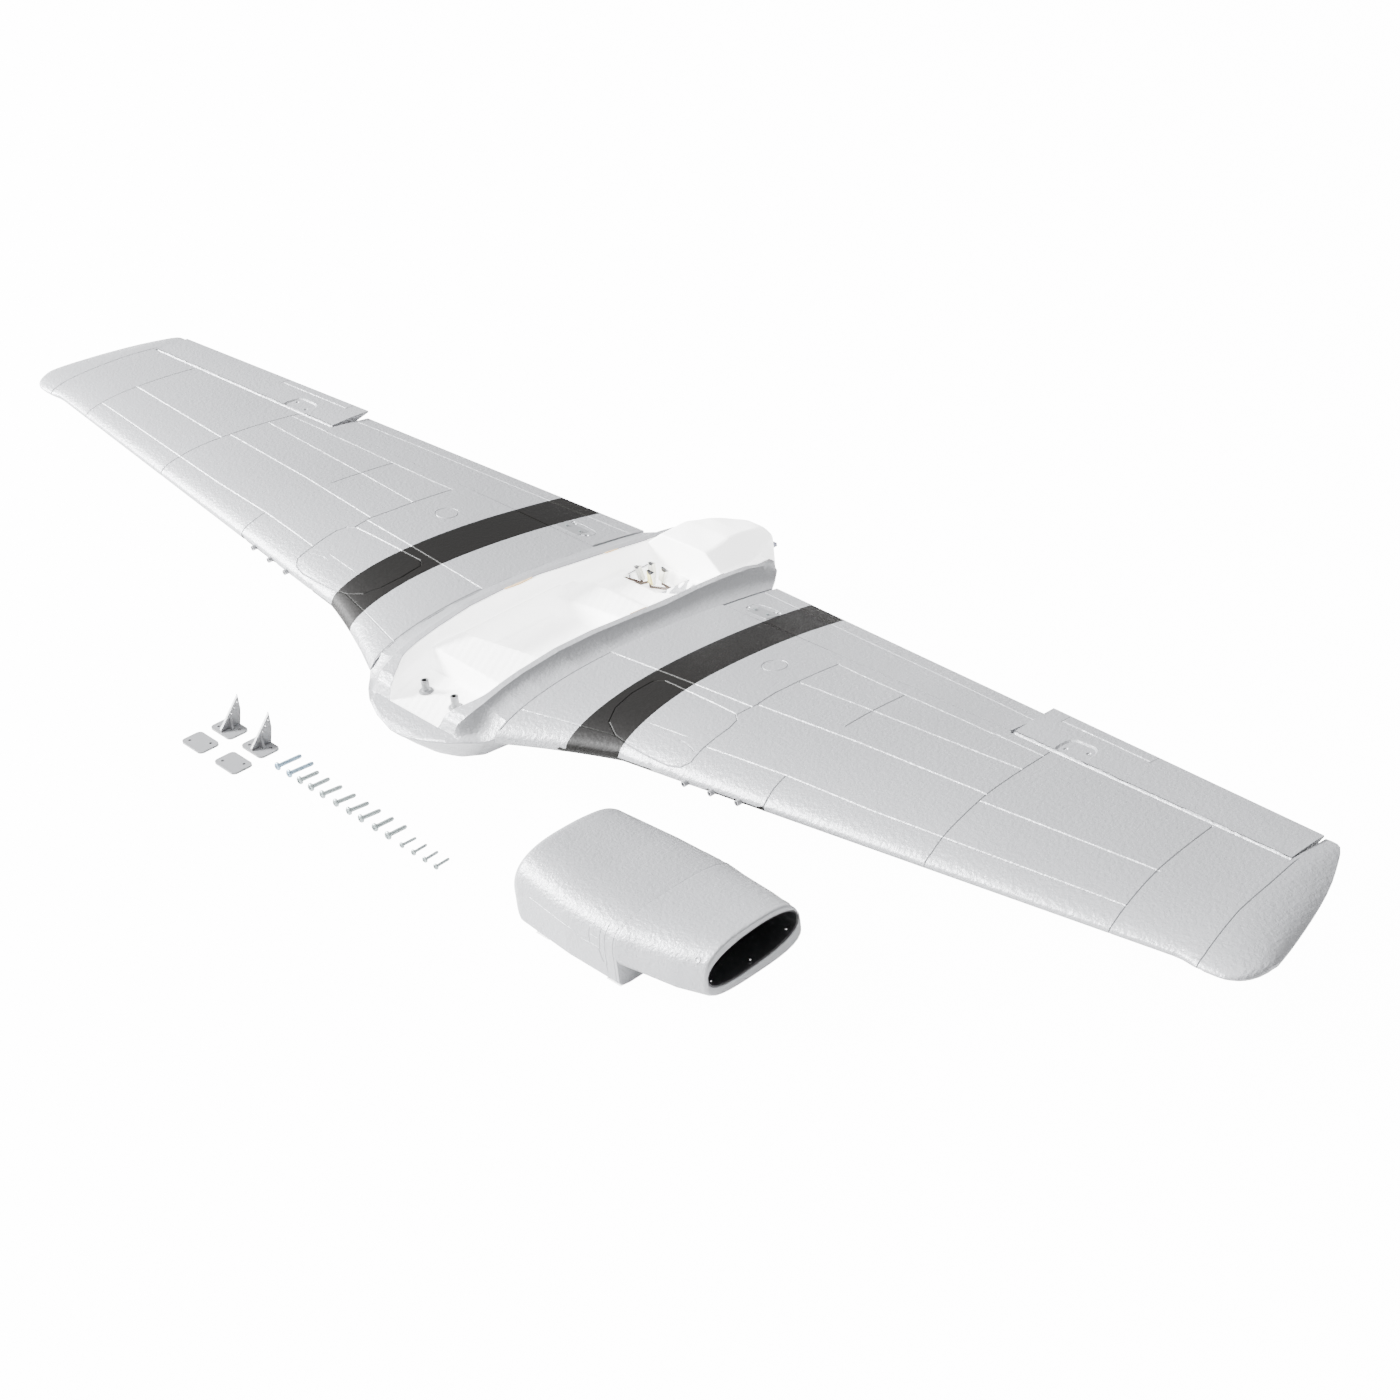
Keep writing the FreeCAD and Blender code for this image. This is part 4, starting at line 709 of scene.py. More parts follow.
# name, colour, roughness, metallic, grain scale, bump weight, colour variation
PLAIN = [
    ("grey_plastic", (0.15, 0.153, 0.16), 0.42, 0.0, 900, 0.02, 0.03),
    ("black_plastic", (0.016, 0.016, 0.018), 0.38, 0.0, 800, 0.03, 0.2),
    ("hinge_nylon", (0.78, 0.78, 0.75), 0.4, 0.0, 500, 0.02, 0.03),
    ("arm_nylon", (0.82, 0.82, 0.80), 0.35, 0.0, 500, 0.02, 0.03),
    ("post_plastic", (0.16, 0.163, 0.17), 0.42, 0.0, 900, 0.03, 0.05),
    ("blue_grey_plastic", (0.20, 0.21, 0.27), 0.45, 0.0, 500, 0.02, 0.04),
    ("zinc_steel", (0.25, 0.29, 0.29), 0.38, 0.6, 1500, 0.02, 0.06),
    ("zinc_steel_blue", (0.20, 0.28, 0.35), 0.36, 0.6, 1500, 0.02, 0.06),
    ("steel_wire", (0.55, 0.56, 0.58), 0.25, 1.0, 1500, 0.02, 0.05),
    ("magnet", (0.74, 0.74, 0.76), 0.15, 1.0, 700, 0.01, 0.03),
    ("carbon_tube", (0.03, 0.03, 0.033), 0.28, 0.0, 400, 0.03, 0.3),
    ("lead_wire", (0.05, 0.03, 0.02), 0.45, 0.0, 600, 0.02, 0.2),
    ("plywood", (0.60, 0.43, 0.25), 0.55, 0.0, 260, 0.05, 0.14),
    ("connector_cream", (0.62, 0.62, 0.58), 0.45, 0.0, 700, 0.02, 0.04),
    ("connector_yellow", (0.62, 0.56, 0.22), 0.45, 0.0, 700, 0.02, 0.04)]
MATERIAL = {row[0]: plain(*row) for row in PLAIN}
MATERIAL.update(grey_foam_paint=GREY, white_foam=WHITE)
PLASTIC = MATERIAL["grey_plastic"]
BLACK_PLASTIC = MATERIAL["black_plastic"]


# ------------------------------------------------------------------ wing panels
# flat coordinates: (x, run), where run goes back from the leading edge, positive on top
def surface_run(chord, u):
    return chord * np.sqrt(u * u + NOSE_STRETCH * u)


def wing_to_flat(p):
    x, y, z = p[:, 0], p[:, 1], p[:, 2]
    chord = trail_y(x) - lead_y(x)
    u = np.clip((y - lead_y(x)) / chord, 0, 1)
    up = z >= middle_z(x, lead_y(x) + u * chord)
    run = surface_run(chord, u)
    return np.stack([x, np.where(up, run, -run)], 1)


def wing_surface(flat):
    x = np.clip(flat[:, 0], 60, TIP_END)
    chord = trail_y(x) - lead_y(x)
    q = (flat[:, 1] / chord) ** 2
    u = np.minimum((-NOSE_STRETCH + np.sqrt(NOSE_STRETCH ** 2 + 4 * q)) / 2, 1.0)
    y = lead_y(x) + u * chord
    z = np.where(flat[:, 1] >= 0, skin_z(x, y, True), skin_z(x, y, False))
    return np.stack([flat[:, 0], y, z], 1)


def wing_flat(points, up=True):
    """Points (x, y) drawn on the wing's top or underside, as flat coordinates."""
    x, y = densify(points, 6.0).T
    chord = trail_y(x) - lead_y(x)
    run = surface_run(chord, np.clip((y - lead_y(x)) / chord, 0, 1))
    return np.stack([x, run if up else -run], 1)


def top_line(points, width=LINE_WIDTH, depth=LINE_DEPTH):
    return groove(wing_flat(points), width, depth)


def over_nose(points, width=LINE_WIDTH):
    """A line on top that goes on round the leading edge for a short run below."""
    top = wing_flat(points)
    run = np.linspace(top[-1, 1], -16.0, 12)[1:]
    below = np.stack([np.full(len(run), top[-1, 0]), run], 1)
    return groove(np.concatenate([top, below]), width)


HATCH = [(158.2, 27.6), (176.3, 26.6), (194.5, 26.6), (203.9, 28.3), (208.4, 33.0), (207.2, 45.0),
         (207.5, 66.6), (205.3, 74.5), (199.1, 78.8), (179.8, 80.4), (149.5, 81.9), (129.0, 82.8),
         (123.0, 79.0), (122.0, 62.0), (124.5, 46.0), (131.0, 34.5), (143.0, 29.0), (158.2, 27.6)]
WING_GROOVES = [
    # root and the rounded outline in front
    top_line([(68.3, -3.0), (68.3, 47.0), (68.3, 89.5)]),
    top_line([(68.3, 13.5), (99.9, 20.3), (116.6, 23.6), (143.0, 28.6)]),
    top_line(HATCH),
    top_line([(161.4, 46.2), (174.7, 46.8), (187.8, 47.4)], 0.7, 0.3),
    top_line([(187.9, 43.4), (192.5, 43.2), (198.5, 42.0), (203.5, 40.3)], 1.1, 0.6),
    # lines along the span, front to back
    top_line([(208.0, 46.2), (240.2, 48.4), (272.4, 50.3), (340.3, 51.5), (405.8, 54.5),
              (499.7, 58.8), (516.3, 59.3)]),
    over_nose([(273.3, 50.3), (274.1, 40.0), (275.6, 32.0)]),
    top_line([(68.3, 89.5), (149.3, 90.2), (202.2, 90.2)]),
    top_line([(203.6, 94.0), (287.5, 96.6), (367.5, 96.2), (387.6, 95.9)]),
    top_line([(388.7, 88.7), (446.3, 89.4), (512.4, 90.0)]),
    top_line([(201.6, 129.8), (254.1, 130.1), (336.5, 129.1), (384.6, 128.4)]),
    top_line([(200.2, 164.6), (222.4, 161.8), (312.5, 154.6), (340.8, 151.8)]),
    top_line([(343.1, 152.4), (382.9, 148.4)]),
    # lines along the chord, root to tip
    top_line([(200.2, 164.6), (200.2, 131.9), (200.4, 110.9), (202.2, 93.3), (200.6, 78.6)]),
    top_line([(264.2, 158.4), (265.0, 129.2), (266.3, 106.5)]),
    over_nose([(382.0, 154.9), (382.9, 148.4), (384.9, 126.2), (387.5, 96.5), (390.8, 74.8),
               (393.6, 53.7), (395.7, 43.0)]),
    over_nose([(507.2, 140.6), (511.5, 92.1), (516.3, 59.3), (517.7, 48.5)]),
    over_nose([(562.6, 136.6), (565.4, 113.9), (567.4, 85.4), (571.2, 60.5), (572.6, 50.5)],
              width=1.1),
    # a round outline in the band, and marks at the tip
    top_line(circle(171.0, 137.8, 8.2, 28), 0.9, 0.4),
    top_line(circle(588.0, 57.5, 2.6, 18), 0.7, 0.3),
    top_line([(582.0, 66.0), (587.0, 67.6), (592.0, 68.0)], 0.6, 0.25),
    # two lines along the span underneath
    groove(wing_flat([(154.0, 90.0), (507.0, 90.0)], up=False)),
    groove(wing_flat([(212.0, 52.0), (514.0, 60.0)], up=False)),
]


def wing_edges():
    """Edges of the black bands, and the leading edge."""
    edges = []
    for rows in (BAND_INNER, BAND_OUTER):
        y = np.linspace(0, 200, 60)
        x = band_x(y, rows)
        on_wing = y > lead_y(x) + 0.4
        x, y = x[on_wing], y[on_wing]
        edges.append(np.concatenate([[(x[0], 0.0)], wing_flat(np.stack([x, y], 1))]))
    for x in (*UNDER_BANDS[0], *UNDER_BANDS[1]):
        edges.append(np.array([(x, 0.0), (x, -float(trail_y(x) - lead_y(x)) * 1.02)]))
    edges.append(np.array([(67.0, 0.0), (TIP_END, 0.0)]))
    return edges


fine_skin("wing_panel", wing_to_flat, wing_surface, WING_GROOVES, wing_edges(),
          spacing=(6.0, 5.0), gap_facing=1, x_limit=578.5)


# ------------------------------------------------------------------ flaps
# flat coordinates of flaps and ailerons: (x, y)
def plan_view(p):
    return p[:, :2].copy()


def flap_surface(flat):
    return np.stack([flat[:, 0], flat[:, 1], skin_z(flat[:, 0], flat[:, 1], True)], 1)


def blunt_oval(x, y, half_x, half_y, count=32):
    """Closed oval with blunt ends, slightly slanted."""
    points = []
    for k in range(count + 1):
        angle = 2 * math.pi * k / count
        c, s = math.cos(angle), math.sin(angle)
        points.append((x + half_x * math.copysign(abs(c) ** 0.6, c),
                       y + half_y * math.copysign(abs(s) ** 0.6, s) - 0.06 * half_x * c))
    return points


def screw_dot(x, y):
    return groove(circle(x, y, 0.8, 14), width=1.4, depth=0.9, step=9)


flap_grooves = [
    groove([(69.6, 222.0), (180.0, 205.4), (277.5, 192.4), (345.4, 182.0)], step=6),
    groove(blunt_oval(95.5, 197.3, 13.2, 6.4), width=0.7, depth=0.3, step=20),
    screw_dot(83.9, 194.2), screw_dot(104.1, 199.7), screw_dot(107.3, 200.7)]
flap_y = np.linspace(178, 234, 10)
flap_edges = [np.stack([band_x(flap_y, rows), flap_y], 1) for rows in (BAND_INNER, BAND_OUTER)]
fine_skin("flap", plan_view, flap_surface, flap_grooves, flap_edges, spacing=(6.0, 4.0),
          gap_facing=-1)

# ------------------------------------------------------------------ ailerons
# axis of the rounded front edge, from its inner to its outer end
AXIS_INNER = np.array([348.4, 164.68268868821582, 21.83888778062917])
AXIS_OUTER = np.array([559.0, 140.46918899568598, 41.751347156238175])


def aileron_radius(x):
    y = 159.6 - 0.1094 * (x - 348.0)
    return (float(skin_z(x, y, True)) - float(skin_z(x, y, False))) / 2 - 0.05


RADIUS_INNER, RADIUS_OUTER = aileron_radius(AXIS_INNER[0]), aileron_radius(AXIS_OUTER[0])


def aileron_surface(flat):
    """From the top of the rounded front edge back to the trailing edge, slightly bulged."""
    x, y = flat[:, 0], flat[:, 1]
    along = ((x - AXIS_INNER[0]) / (AXIS_OUTER[0] - AXIS_INNER[0]))[..., None]
    axis = AXIS_INNER + (AXIS_OUTER - AXIS_INNER) * along
    radius = RADIUS_INNER + (RADIUS_OUTER - RADIUS_INNER) * (x - AXIS_INNER[0]) / 210.6
    rear_y = 196.1 - 0.1413 * (x - 350.6)
    rear_z = 25.4 + 0.0874 * (x - 350.6) + 0.6
    t = (y - axis[:, 1]) / (rear_y - axis[:, 1])
    top = axis[:, 2] + radius
    z = top + (rear_z - axis[:, 2] - radius) * t + 0.35 * np.sin(np.pi * np.clip(t, 0, 1))
    return np.stack([x, y, z], 1)


# shallow four-sided recess: its upper outline and the outline of its floor
RECESS = round_loop([(379.5, 158.5), (382.0, 174.5), (404.5, 172.5), (407.0, 155.5)], 6.0)
RECESS_FLOOR = round_loop([(381.0, 158.5), (383.2, 173.1), (403.5, 171.2), (405.6, 155.8)], 5.0)
RECESS_DEPTH = 0.9
RECESS_SLOPE = 1.2      # width of the slope between the two outlines


def aileron_dents(flat):
    floor_lines = RECESS_FLOOR[:-1], RECESS_FLOOR[1:]
    slope = np.clip(1 - segment_distance(flat, *floor_lines) / RECESS_SLOPE, 0, 1)
    rim = np.where(inside(flat, RECESS[:-1], RECESS[1:]), RECESS_DEPTH * slope, 0.0)
    return np.where(inside(flat, *floor_lines), RECESS_DEPTH, rim)


aileron_grooves = [
    groove([(366.4, 186.1), (397.0, 182.2), (434.6, 177.2)], step=6),
    groove([(363.4, 186.4), (363.8, 194.6)], width=0.6, depth=0.3, step=6),
    groove([(436.4, 177.0), (437.0, 184.2)], width=0.6, depth=0.3, step=6),
    screw_dot(385.9, 163.6), screw_dot(400.6, 166.2)]
fine_skin("aileron", plan_view, aileron_surface, aileron_grooves, [RECESS, RECESS_FLOOR],
          spacing=(6.0, 4.0), gap_facing=-1, dents=aileron_dents, tolerance=0.6)

# ------------------------------------------------------------------ centre section
# painted shell outside, bare foam trough inside
# trough: y, half width at the top, half width at the floor, floor z
TROUGH = np.array([
    (-45.0, 34.0, 18.0, -9.0), (-22.0, 35.6, 26.5, -9.0), (-9.0, 40.6, 31.0, -9.0),
    (5.0, 42.5, 36.5, -9.0), (22.0, 42.8, 40.0, -9.0), (62.6, 44.0, 40.0, -9.0),
    (122.6, 45.2, 40.0, -9.0), (168.0, 42.6, 40.0, -8.0), (182.6, 41.4, 39.0, -9.0),
    (212.0, 39.8, 38.0, -10.0), (216.0, 39.7, 38.0, -10.0)])
# rear block: y, half width at the base, half width at the top, top z, bottom z
BLOCK = np.array([
    (212, 40, 23, 16, -27), (236, 37.5, 21.5, 17, -27), (251, 33, 17.5, 14.2, -27),
    (264, 27, 14.5, 10, -26.5), (275, 21, 10.5, 5.5, -26.5), (282.5, 15, 7.5, 2, -26)], float)
# where the rim's outer edge is looked for: y and x
RIM_GUIDE = [-26, -12, 3, 60, 120, 180, 256], [40, 46.2, 48.5, 50.2, 51.4, 47.6, 44]
TROUGH_END = 213.2      # y where the trough's walls give way to the shelf beside the block
FLOOR_COLUMNS = 84      # points across the floor, both wall feet included
RIM_COLUMNS = 7         # cells of each side that belong to the painted rim


def trough_at(y, column):
    return np.interp(y, TROUGH[:, 0], TROUGH[:, column])


def smooth_step(a, b, t):
    t = np.clip((np.asarray(t, float) - a) / (b - a), 0, 1)
    return t * t * (3 - 2 * t)


def span(t, rise_start, rise_end, fall_start, fall_end):
    """Rises smoothly from 0 to 1 and falls back."""
    return smooth_step(rise_start, rise_end, t) * (1 - smooth_step(fall_start, fall_end, t))


def floor_height(x, y):
    """Height of the trough's floor with its raised and sunken parts."""
    across = (x + 38) / 76
    front = 22.0 - 2.0 * across
    back = 50.5 + 14 * np.clip(across, 0, 1)
    end = 125 + 12 * np.clip(across, 0, 1)
    z = trough_at(y, 3)

    def level(height, share):
        return z + (height - z) * share

    z = level(5.4, span(y, front - 1.4, front + 2.2, back - 2, back + 6))      # raised block
    behind = span(y, back + 1, back + 7, end - 3, end + 4)
    z = level(-13.0, behind * (1 - smooth_step(35.2, 38.6, np.abs(x + 0.6))))  # sunken bay
    z = level(1.0, behind * smooth_step(35.2, 38.6, x))                        # its edge at +x
    z = level(-2.5, span(y, end - 3, end + 4, 156, 167))                       # step behind it
    ridge = span(y, front + 1, front + 5, 133, 141) * span(x, -40.6, -39.6, -38.4, -36.2)
    z = np.maximum(z, level(4.6, ridge))
    channel = span(y, front + 1, front + 4, 146, 152) * (1 - smooth_step(-41.2, -40.2, x))
    z = level(0.4, channel)
    pit = span(x, -35, -32.6, 3.2, 5.2) * span(y, 183.4, 186, 208, 210.4)
    return level(-17.3, pit)


def find_rim(points, triangles, normals, flat_top):
    """Points of the +x rim's outer edge, where the flat top meets the flank, by rising y."""
    flank = normals[:, 0] > 0.12
    keys = np.sort(all_edges(triangles), 1)
    owner = np.tile(np.arange(len(triangles)), 3)
    order = np.lexsort((keys[:, 1], keys[:, 0]))
    found = []
    for i, j in zip(order[:-1], order[1:]):
        a, b = owner[i], owner[j]
        if (keys[i] == keys[j]).all() and ((flat_top[a] and flank[b])
                                           or (flat_top[b] and flank[a])):
            for p in points[keys[i]]:
                near = abs(p[0] - np.interp(p[1], *RIM_GUIDE)) < 3.0
                if p[0] > 20 and p[1] > -23.5 and near:
                    found.append(p)
    found = np.array(found)
    _, first = np.unique(np.round(found[:, 1], 2), return_index=True)
    return found[first]


cad_points, cad_tri, cad_normals = cad_mesh("center_section")
cad_facing = unit(face_cross(cad_points[cad_tri]))
cad_flat_top = (np.abs(cad_facing[:, 0]) < 0.03) & (cad_facing[:, 2] > 0.45)
RIM = find_rim(cad_points, cad_tri, cad_facing, cad_flat_top)
RIM_FRONT, RIM_REAR = float(RIM[0, 1]), float(RIM[-1, 1])


def rim_x(y):
    return np.interp(y, RIM[:, 1], RIM[:, 0])


def rim_z(y):
    return np.interp(y, RIM[:, 1], RIM[:, 2])


def outer_shell():
    """The CAD shell without the trough, the rim's top and the rear block, which are rebuilt."""
    middle = cad_points[cad_tri].mean(1)
    x, y, z = middle.T
    out = np.abs(x)
    in_rim = (y > RIM_FRONT) & (y < RIM_REAR + 0.05)
    drop = in_rim & cad_flat_top & (z > rim_z(y) - 0.35) & (out < rim_x(y) + 0.1)
    drop |= in_rim & (out < rim_x(y) - 0.8) & (z > -9.25) & (y < 213)
    drop |= (out < 38.1) & (y > 57) & (y < 141) & (z > -13.1)
    drop |= (x > -33.2) & (x < 5.2) & (y > 183) & (y < 213) & (z > -17.6)
    drop |= (y > 211.5) & (out < 40.3) & (z > -10.5)
    drop |= (y > RIM_REAR + 0.3) & ~((out < 8.3) & (z < -13) & (z > -18))
    tri, middle, normals = cad_tri[~drop], middle[~drop], cad_normals[~drop].copy()
    # one flowing chin: no crease where the fillet turns under the nose
    chin = (middle[:, 1] < -8.4) & (middle[:, 2] > -46)
    normals[chin] = vertex_normals(cad_points, tri[chin])[tri[chin]]
    used, renumbered = np.unique(tri, return_inverse=True)
    return cad_points[used], renumbered.reshape(-1, 3), normals, np.zeros(len(tri), int)


def half_section(y, side):
    """Section from the rim's outer edge in to the wall's foot: (x measured outward, z)."""
    edge_x, edge_z = float(rim_x(y)), float(rim_z(y))
    top_half, low_half, floor_z = (float(trough_at(y, column)) for column in (1, 2, 3))
    if side < 0:
        grow = float(span(y, 24, 30, 146, 156))
        low_half = low_half + grow * max(0.0, min(2.4, top_half - 1.4 - low_half))
    lean = top_half - low_half
    wall = np.array([
        (low_half - 3.0, floor_z), (low_half - 1.1, floor_z + 0.5),
        (low_half - 0.2, floor_z + 1.9), (low_half + 0.02 * lean, floor_z + 4.5),
        (low_half + 0.12 * lean, 1.0), (low_half + 0.40 * lean, 4.6),
        (low_half + 0.76 * lean, 7.2), (low_half + 0.96 * lean, 9.2),
        (top_half, 11.0), (top_half + 0.05, 60.0)])
    for i in range(1, len(wall)):
        wall[i, 1] = max(wall[i, 1], wall[i - 1, 1] + 0.05)
    top = edge_z - 0.02
    if top < wall[1, 1] + 0.2:
        inner_x = low_half - 1.1
        wall = np.array([wall[0], (inner_x, max(floor_z, top - 0.1))])
    else:
        i = int(np.searchsorted(wall[:, 1], top))
        t = (top - wall[i - 1, 1]) / (wall[i, 1] - wall[i - 1, 1])
        inner_x = wall[i - 1, 0] + t * (wall[i, 0] - wall[i - 1, 0])
        wall = np.concatenate([wall[:i], [(inner_x, top)]])
    inner_x = min(inner_x, edge_x - 1.6)
    length = np.concatenate([[0], np.cumsum(np.linalg.norm(np.diff(wall, axis=0), axis=1))])
    inner_r = min(1.0, length[-1] * 0.3, (edge_x - inner_x) * 0.3)
    outer_r = min(0.8, (edge_x - inner_x) * 0.3)
    down = np.linspace(max(0, length[-1] - inner_r), 0, 18)
    flat_outer, flat_inner = edge_x - outer_r, inner_x + inner_r
    points = [(edge_x, edge_z - 0.02), (edge_x - 0.25 * outer_r, edge_z + 0.02),
              (flat_outer, edge_z + 0.06)]
    for t in (0.25, 0.5, 0.75):
        points.append((flat_outer + (flat_inner - edge_x + outer_r) * t, edge_z + 0.06))
    points += [(flat_inner, edge_z + 0.04), (inner_x + 0.35 * inner_r, edge_z - 0.22 * inner_r)]
    points += list(zip(np.interp(down, length, wall[:, 0]), np.interp(down, length, wall[:, 1])))
    return np.array(points)


def trough():
    """Rims, walls and floor as one grid: rows along y, columns from the +x to the -x edge."""
    stations = np.concatenate([np.linspace(RIM_FRONT, -8, 22), np.arange(-7, 212.1, 1.45),
                               [TROUGH_END]])
    rows = []
    for y in stations:
        right, left = half_section(y, 1), half_section(y, -1)
        x = np.concatenate([right[:, 0],
                            np.linspace(right[-1, 0], -left[-1, 0], FLOOR_COLUMNS)[1:-1],
                            -left[::-1, 0]])
        z = np.concatenate([right[:, 1], np.full(FLOOR_COLUMNS - 2, trough_at(y, 3)),
                            left[::-1, 1]])
        rows.append(np.stack([x, np.full(len(x), y), z], 1))
    grid = np.array(rows)
    x, y, z = grid[:, :, 0], grid[:, :, 1], grid[:, :, 2].copy()
    row_count, columns = z.shape
    floor_z = floor_height(x.ravel(), y.ravel()).reshape(z.shape)
    wall = (columns - FLOOR_COLUMNS + 2) // 2
    # the floor and the feet of both walls take the floor's height
    z[:, wall:-wall] = floor_z[:, wall:-wall]
    for inward in (slice(8, wall), slice(-wall, -8)):
        z[:, inward] = np.maximum(floor_z[:, inward], z[:, inward])
    z[:, [wall - 1, -wall]] = floor_z[:, [wall - 1, -wall]]
    edge_z = rim_z(stations)[:, None]
    z = np.minimum(z, edge_z + 0.07)
    # hand-trimmed foam is never dead flat
    wobble = (0.10 * np.sin(x * 0.31 + 1.0) * np.sin(y * 0.17)
              + 0.07 * np.sin(x * 0.9 + y * 0.6))
    z[:, 8:-8] += wobble[:, 8:-8] * np.clip((edge_z - z[:, 8:-8]) / 3.0, 0, 1)
    grid[:, :, 2] = z
    points = grid.reshape(-1, 3)
    tri = facing_up(points, grid_triangles(row_count, columns))
    cell = np.tile(np.arange(columns - 1), (row_count - 1) * 2)
    bare = (cell >= RIM_COLUMNS) & (cell < columns - 1 - RIM_COLUMNS)
    return points, tri, vertex_normals(points, tri)[tri], bare.astype(int)


def block_ring(y, inset, steps=6):
    """Outline of the rear block at y, with rounded corners and extra points on the flats."""
    base, top, top_z, low_z = (float(np.interp(y, BLOCK[:, 0], BLOCK[:, i])) for i in range(1, 5))
    base, top, top_z, low_z = base - inset, top - inset, top_z - inset, low_z + inset
    shoulder_z = min(3.0, top_z - 4)
    corners = [(-base, low_z), (base, low_z), (base, shoulder_z), (top, top_z), (-top, top_z),
               (-base, shoulder_z)]
    outline = []
    for i, radius in enumerate((1.5, 1.5, 3.0, 2.4, 2.4, 3.0)):
        outline += rounded_corner(corners[i - 1], corners[i], corners[(i + 1) % 6], radius, steps)
    points = []
    for i, a in enumerate(outline):
        b = outline[(i + 1) % len(outline)]
        count = 6 if i % (steps + 1) == steps else 1
        points += [a + (b - a) * k / count for k in range(count)]
    points = np.array(points)
    return np.stack([points[:, 0], np.full(len(points), y), points[:, 1]], 1)


def rear_block():
    # y and inset, with rounded front and rear edges
    stations = [(212.0, 1.5), (212.1, 1.0), (212.35, 0.55), (212.7, 0.2), (213.4, 0.0)]
    stations += [(y, 0.0) for y in np.arange(217, 279.5, 2.0)]
    stations += [(280.0, 0.2), (281.4, 1.0), (282.2, 2.2), (282.5, 3.6)]
    rings = np.array([block_ring(y, inset) for y, inset in stations])
    count, around = rings.shape[:2]
    upper = rings[:, :, 2] > 2
    wobble = 0.22 * np.sin(rings[:, :, 1] * 0.21 + rings[:, :, 0] * 0.13) * upper
    rings[:, :, 2] += wobble - 0.2 * upper
    points = rings.reshape(-1, 3)
    caps = []
    for row in (0, count - 1):
        first = row * around
        caps += [(first + k, first + (k + 1) % around, len(points)) for k in range(around)]
        points = np.concatenate([points, [rings[row].mean(0)]])
    tri = np.concatenate([grid_triangles(count, around, closed=True), np.array(caps)])
    middle = points[tri].mean(1)
    axis = np.stack([np.zeros(len(middle)), np.clip(middle[:, 1], 216, 276),
                     np.full(len(middle), -8.0)], 1)
    inward = (face_cross(points[tri]) * (middle - axis)).sum(1) < 0
    tri[inward] = tri[inward][:, ::-1]
    return points, tri, vertex_normals(points, tri)[tri], np.ones(len(tri), int)


def shelf():
    """Rim and bare shelf beside the block, on the +x side."""
    # distance in from the rim's outer edge, height over it
    steps = [(0, -0.02), (0.4, 0.05), (1.0, 0.06), (3.4, 0.06), (5.0, 0.05), (5.7, -0.3),
             (6.0, -0.8)]
    rows = []
    for y in np.linspace(TROUGH_END, RIM_REAR, 22):
        x, z = float(rim_x(y)), float(rim_z(y))
        row = [(x - inward, y, z + rise) for inward, rise in steps]
        rows.append(row + [(min(x - 7.0, 39.0), y, z - 1.0), (20.0, y, z - 1.0)])
    rows = np.array(rows)
    count, columns = rows.shape[:2]
    points = rows.reshape(-1, 3)
    tri = facing_up(points, grid_triangles(count, columns))
    cell = np.tile(np.arange(columns - 1), (count - 1) * 2)
    return points, tri, vertex_normals(points, tri)[tri], np.where(cell < 5, 0, 1)


def build_centre_section():
    pieces = [outer_shell(), trough(), rear_block(), shelf()]
    points, tri, normals, slots = pieces[-1]
    pieces.append((points * MIRROR, tri[:, ::-1], (normals * MIRROR)[:, ::-1], slots))
    points, tri = join([piece[:2] for piece in pieces])
    add_piece("center_section_foam", "center_section", points, tri, [GREY, WHITE],
              np.concatenate([piece[3] for piece in pieces]),
              np.concatenate([piece[2] for piece in pieces]),
              slot="white_foam", groove=np.zeros(len(points)))


build_centre_section()


# ------------------------------------------------------------------ plywood doublers
def ply_sliver(y_start, y_end, side, height, count=14):
    """The edge of the plywood doubler where the foam has drawn back from it."""
    points = []
    for k in range(count + 1):
        y = y_start + (y_end - y_start) * k / count
        foot = -0.3 - height * math.sin(math.pi * (0.08 + 0.84 * k / count))
        x, z = float(trough_at(y, 1)), float(rim_z(y))
        for dx, dz in ((0.9, 0.10), (0.1, 0.12), (-0.12, -0.1), (-0.12, -0.3), (0.9, -0.3)):
            points.append((side * (x + dx), y, z + (foot if dz == -0.3 else dz)))
    return np.array(points), grid_triangles(count + 1, 5, paired=True)


def buried_board(side):
    points = [(side * x, y, z) for x in (45.5, 46.2) for y in (72.0, 150.0) for z in (10.1, 10.9)]
    tri = [(0, 1, 3), (0, 3, 2), (4, 6, 7), (4, 7, 5), (0, 4, 5), (0, 5, 1),
           (2, 3, 7), (2, 7, 6), (0, 2, 6), (0, 6, 4), (1, 5, 7), (1, 7, 3)]
    return np.array(points), np.array(tri)


# from y, to y, side, height in the middle
SLIVERS = ((92, 116, -1, 1.0), (177, 188, -1, 1.9), (126, 140, 1, 0.2))
ply_parts = [ply_sliver(*row) for row in SLIVERS] + [buried_board(side) for side in (1, -1)]
add_piece("trough_ply_edges", "trough_ply_doublers", *join(ply_parts), [MATERIAL["plywood"]],
          smooth=False)

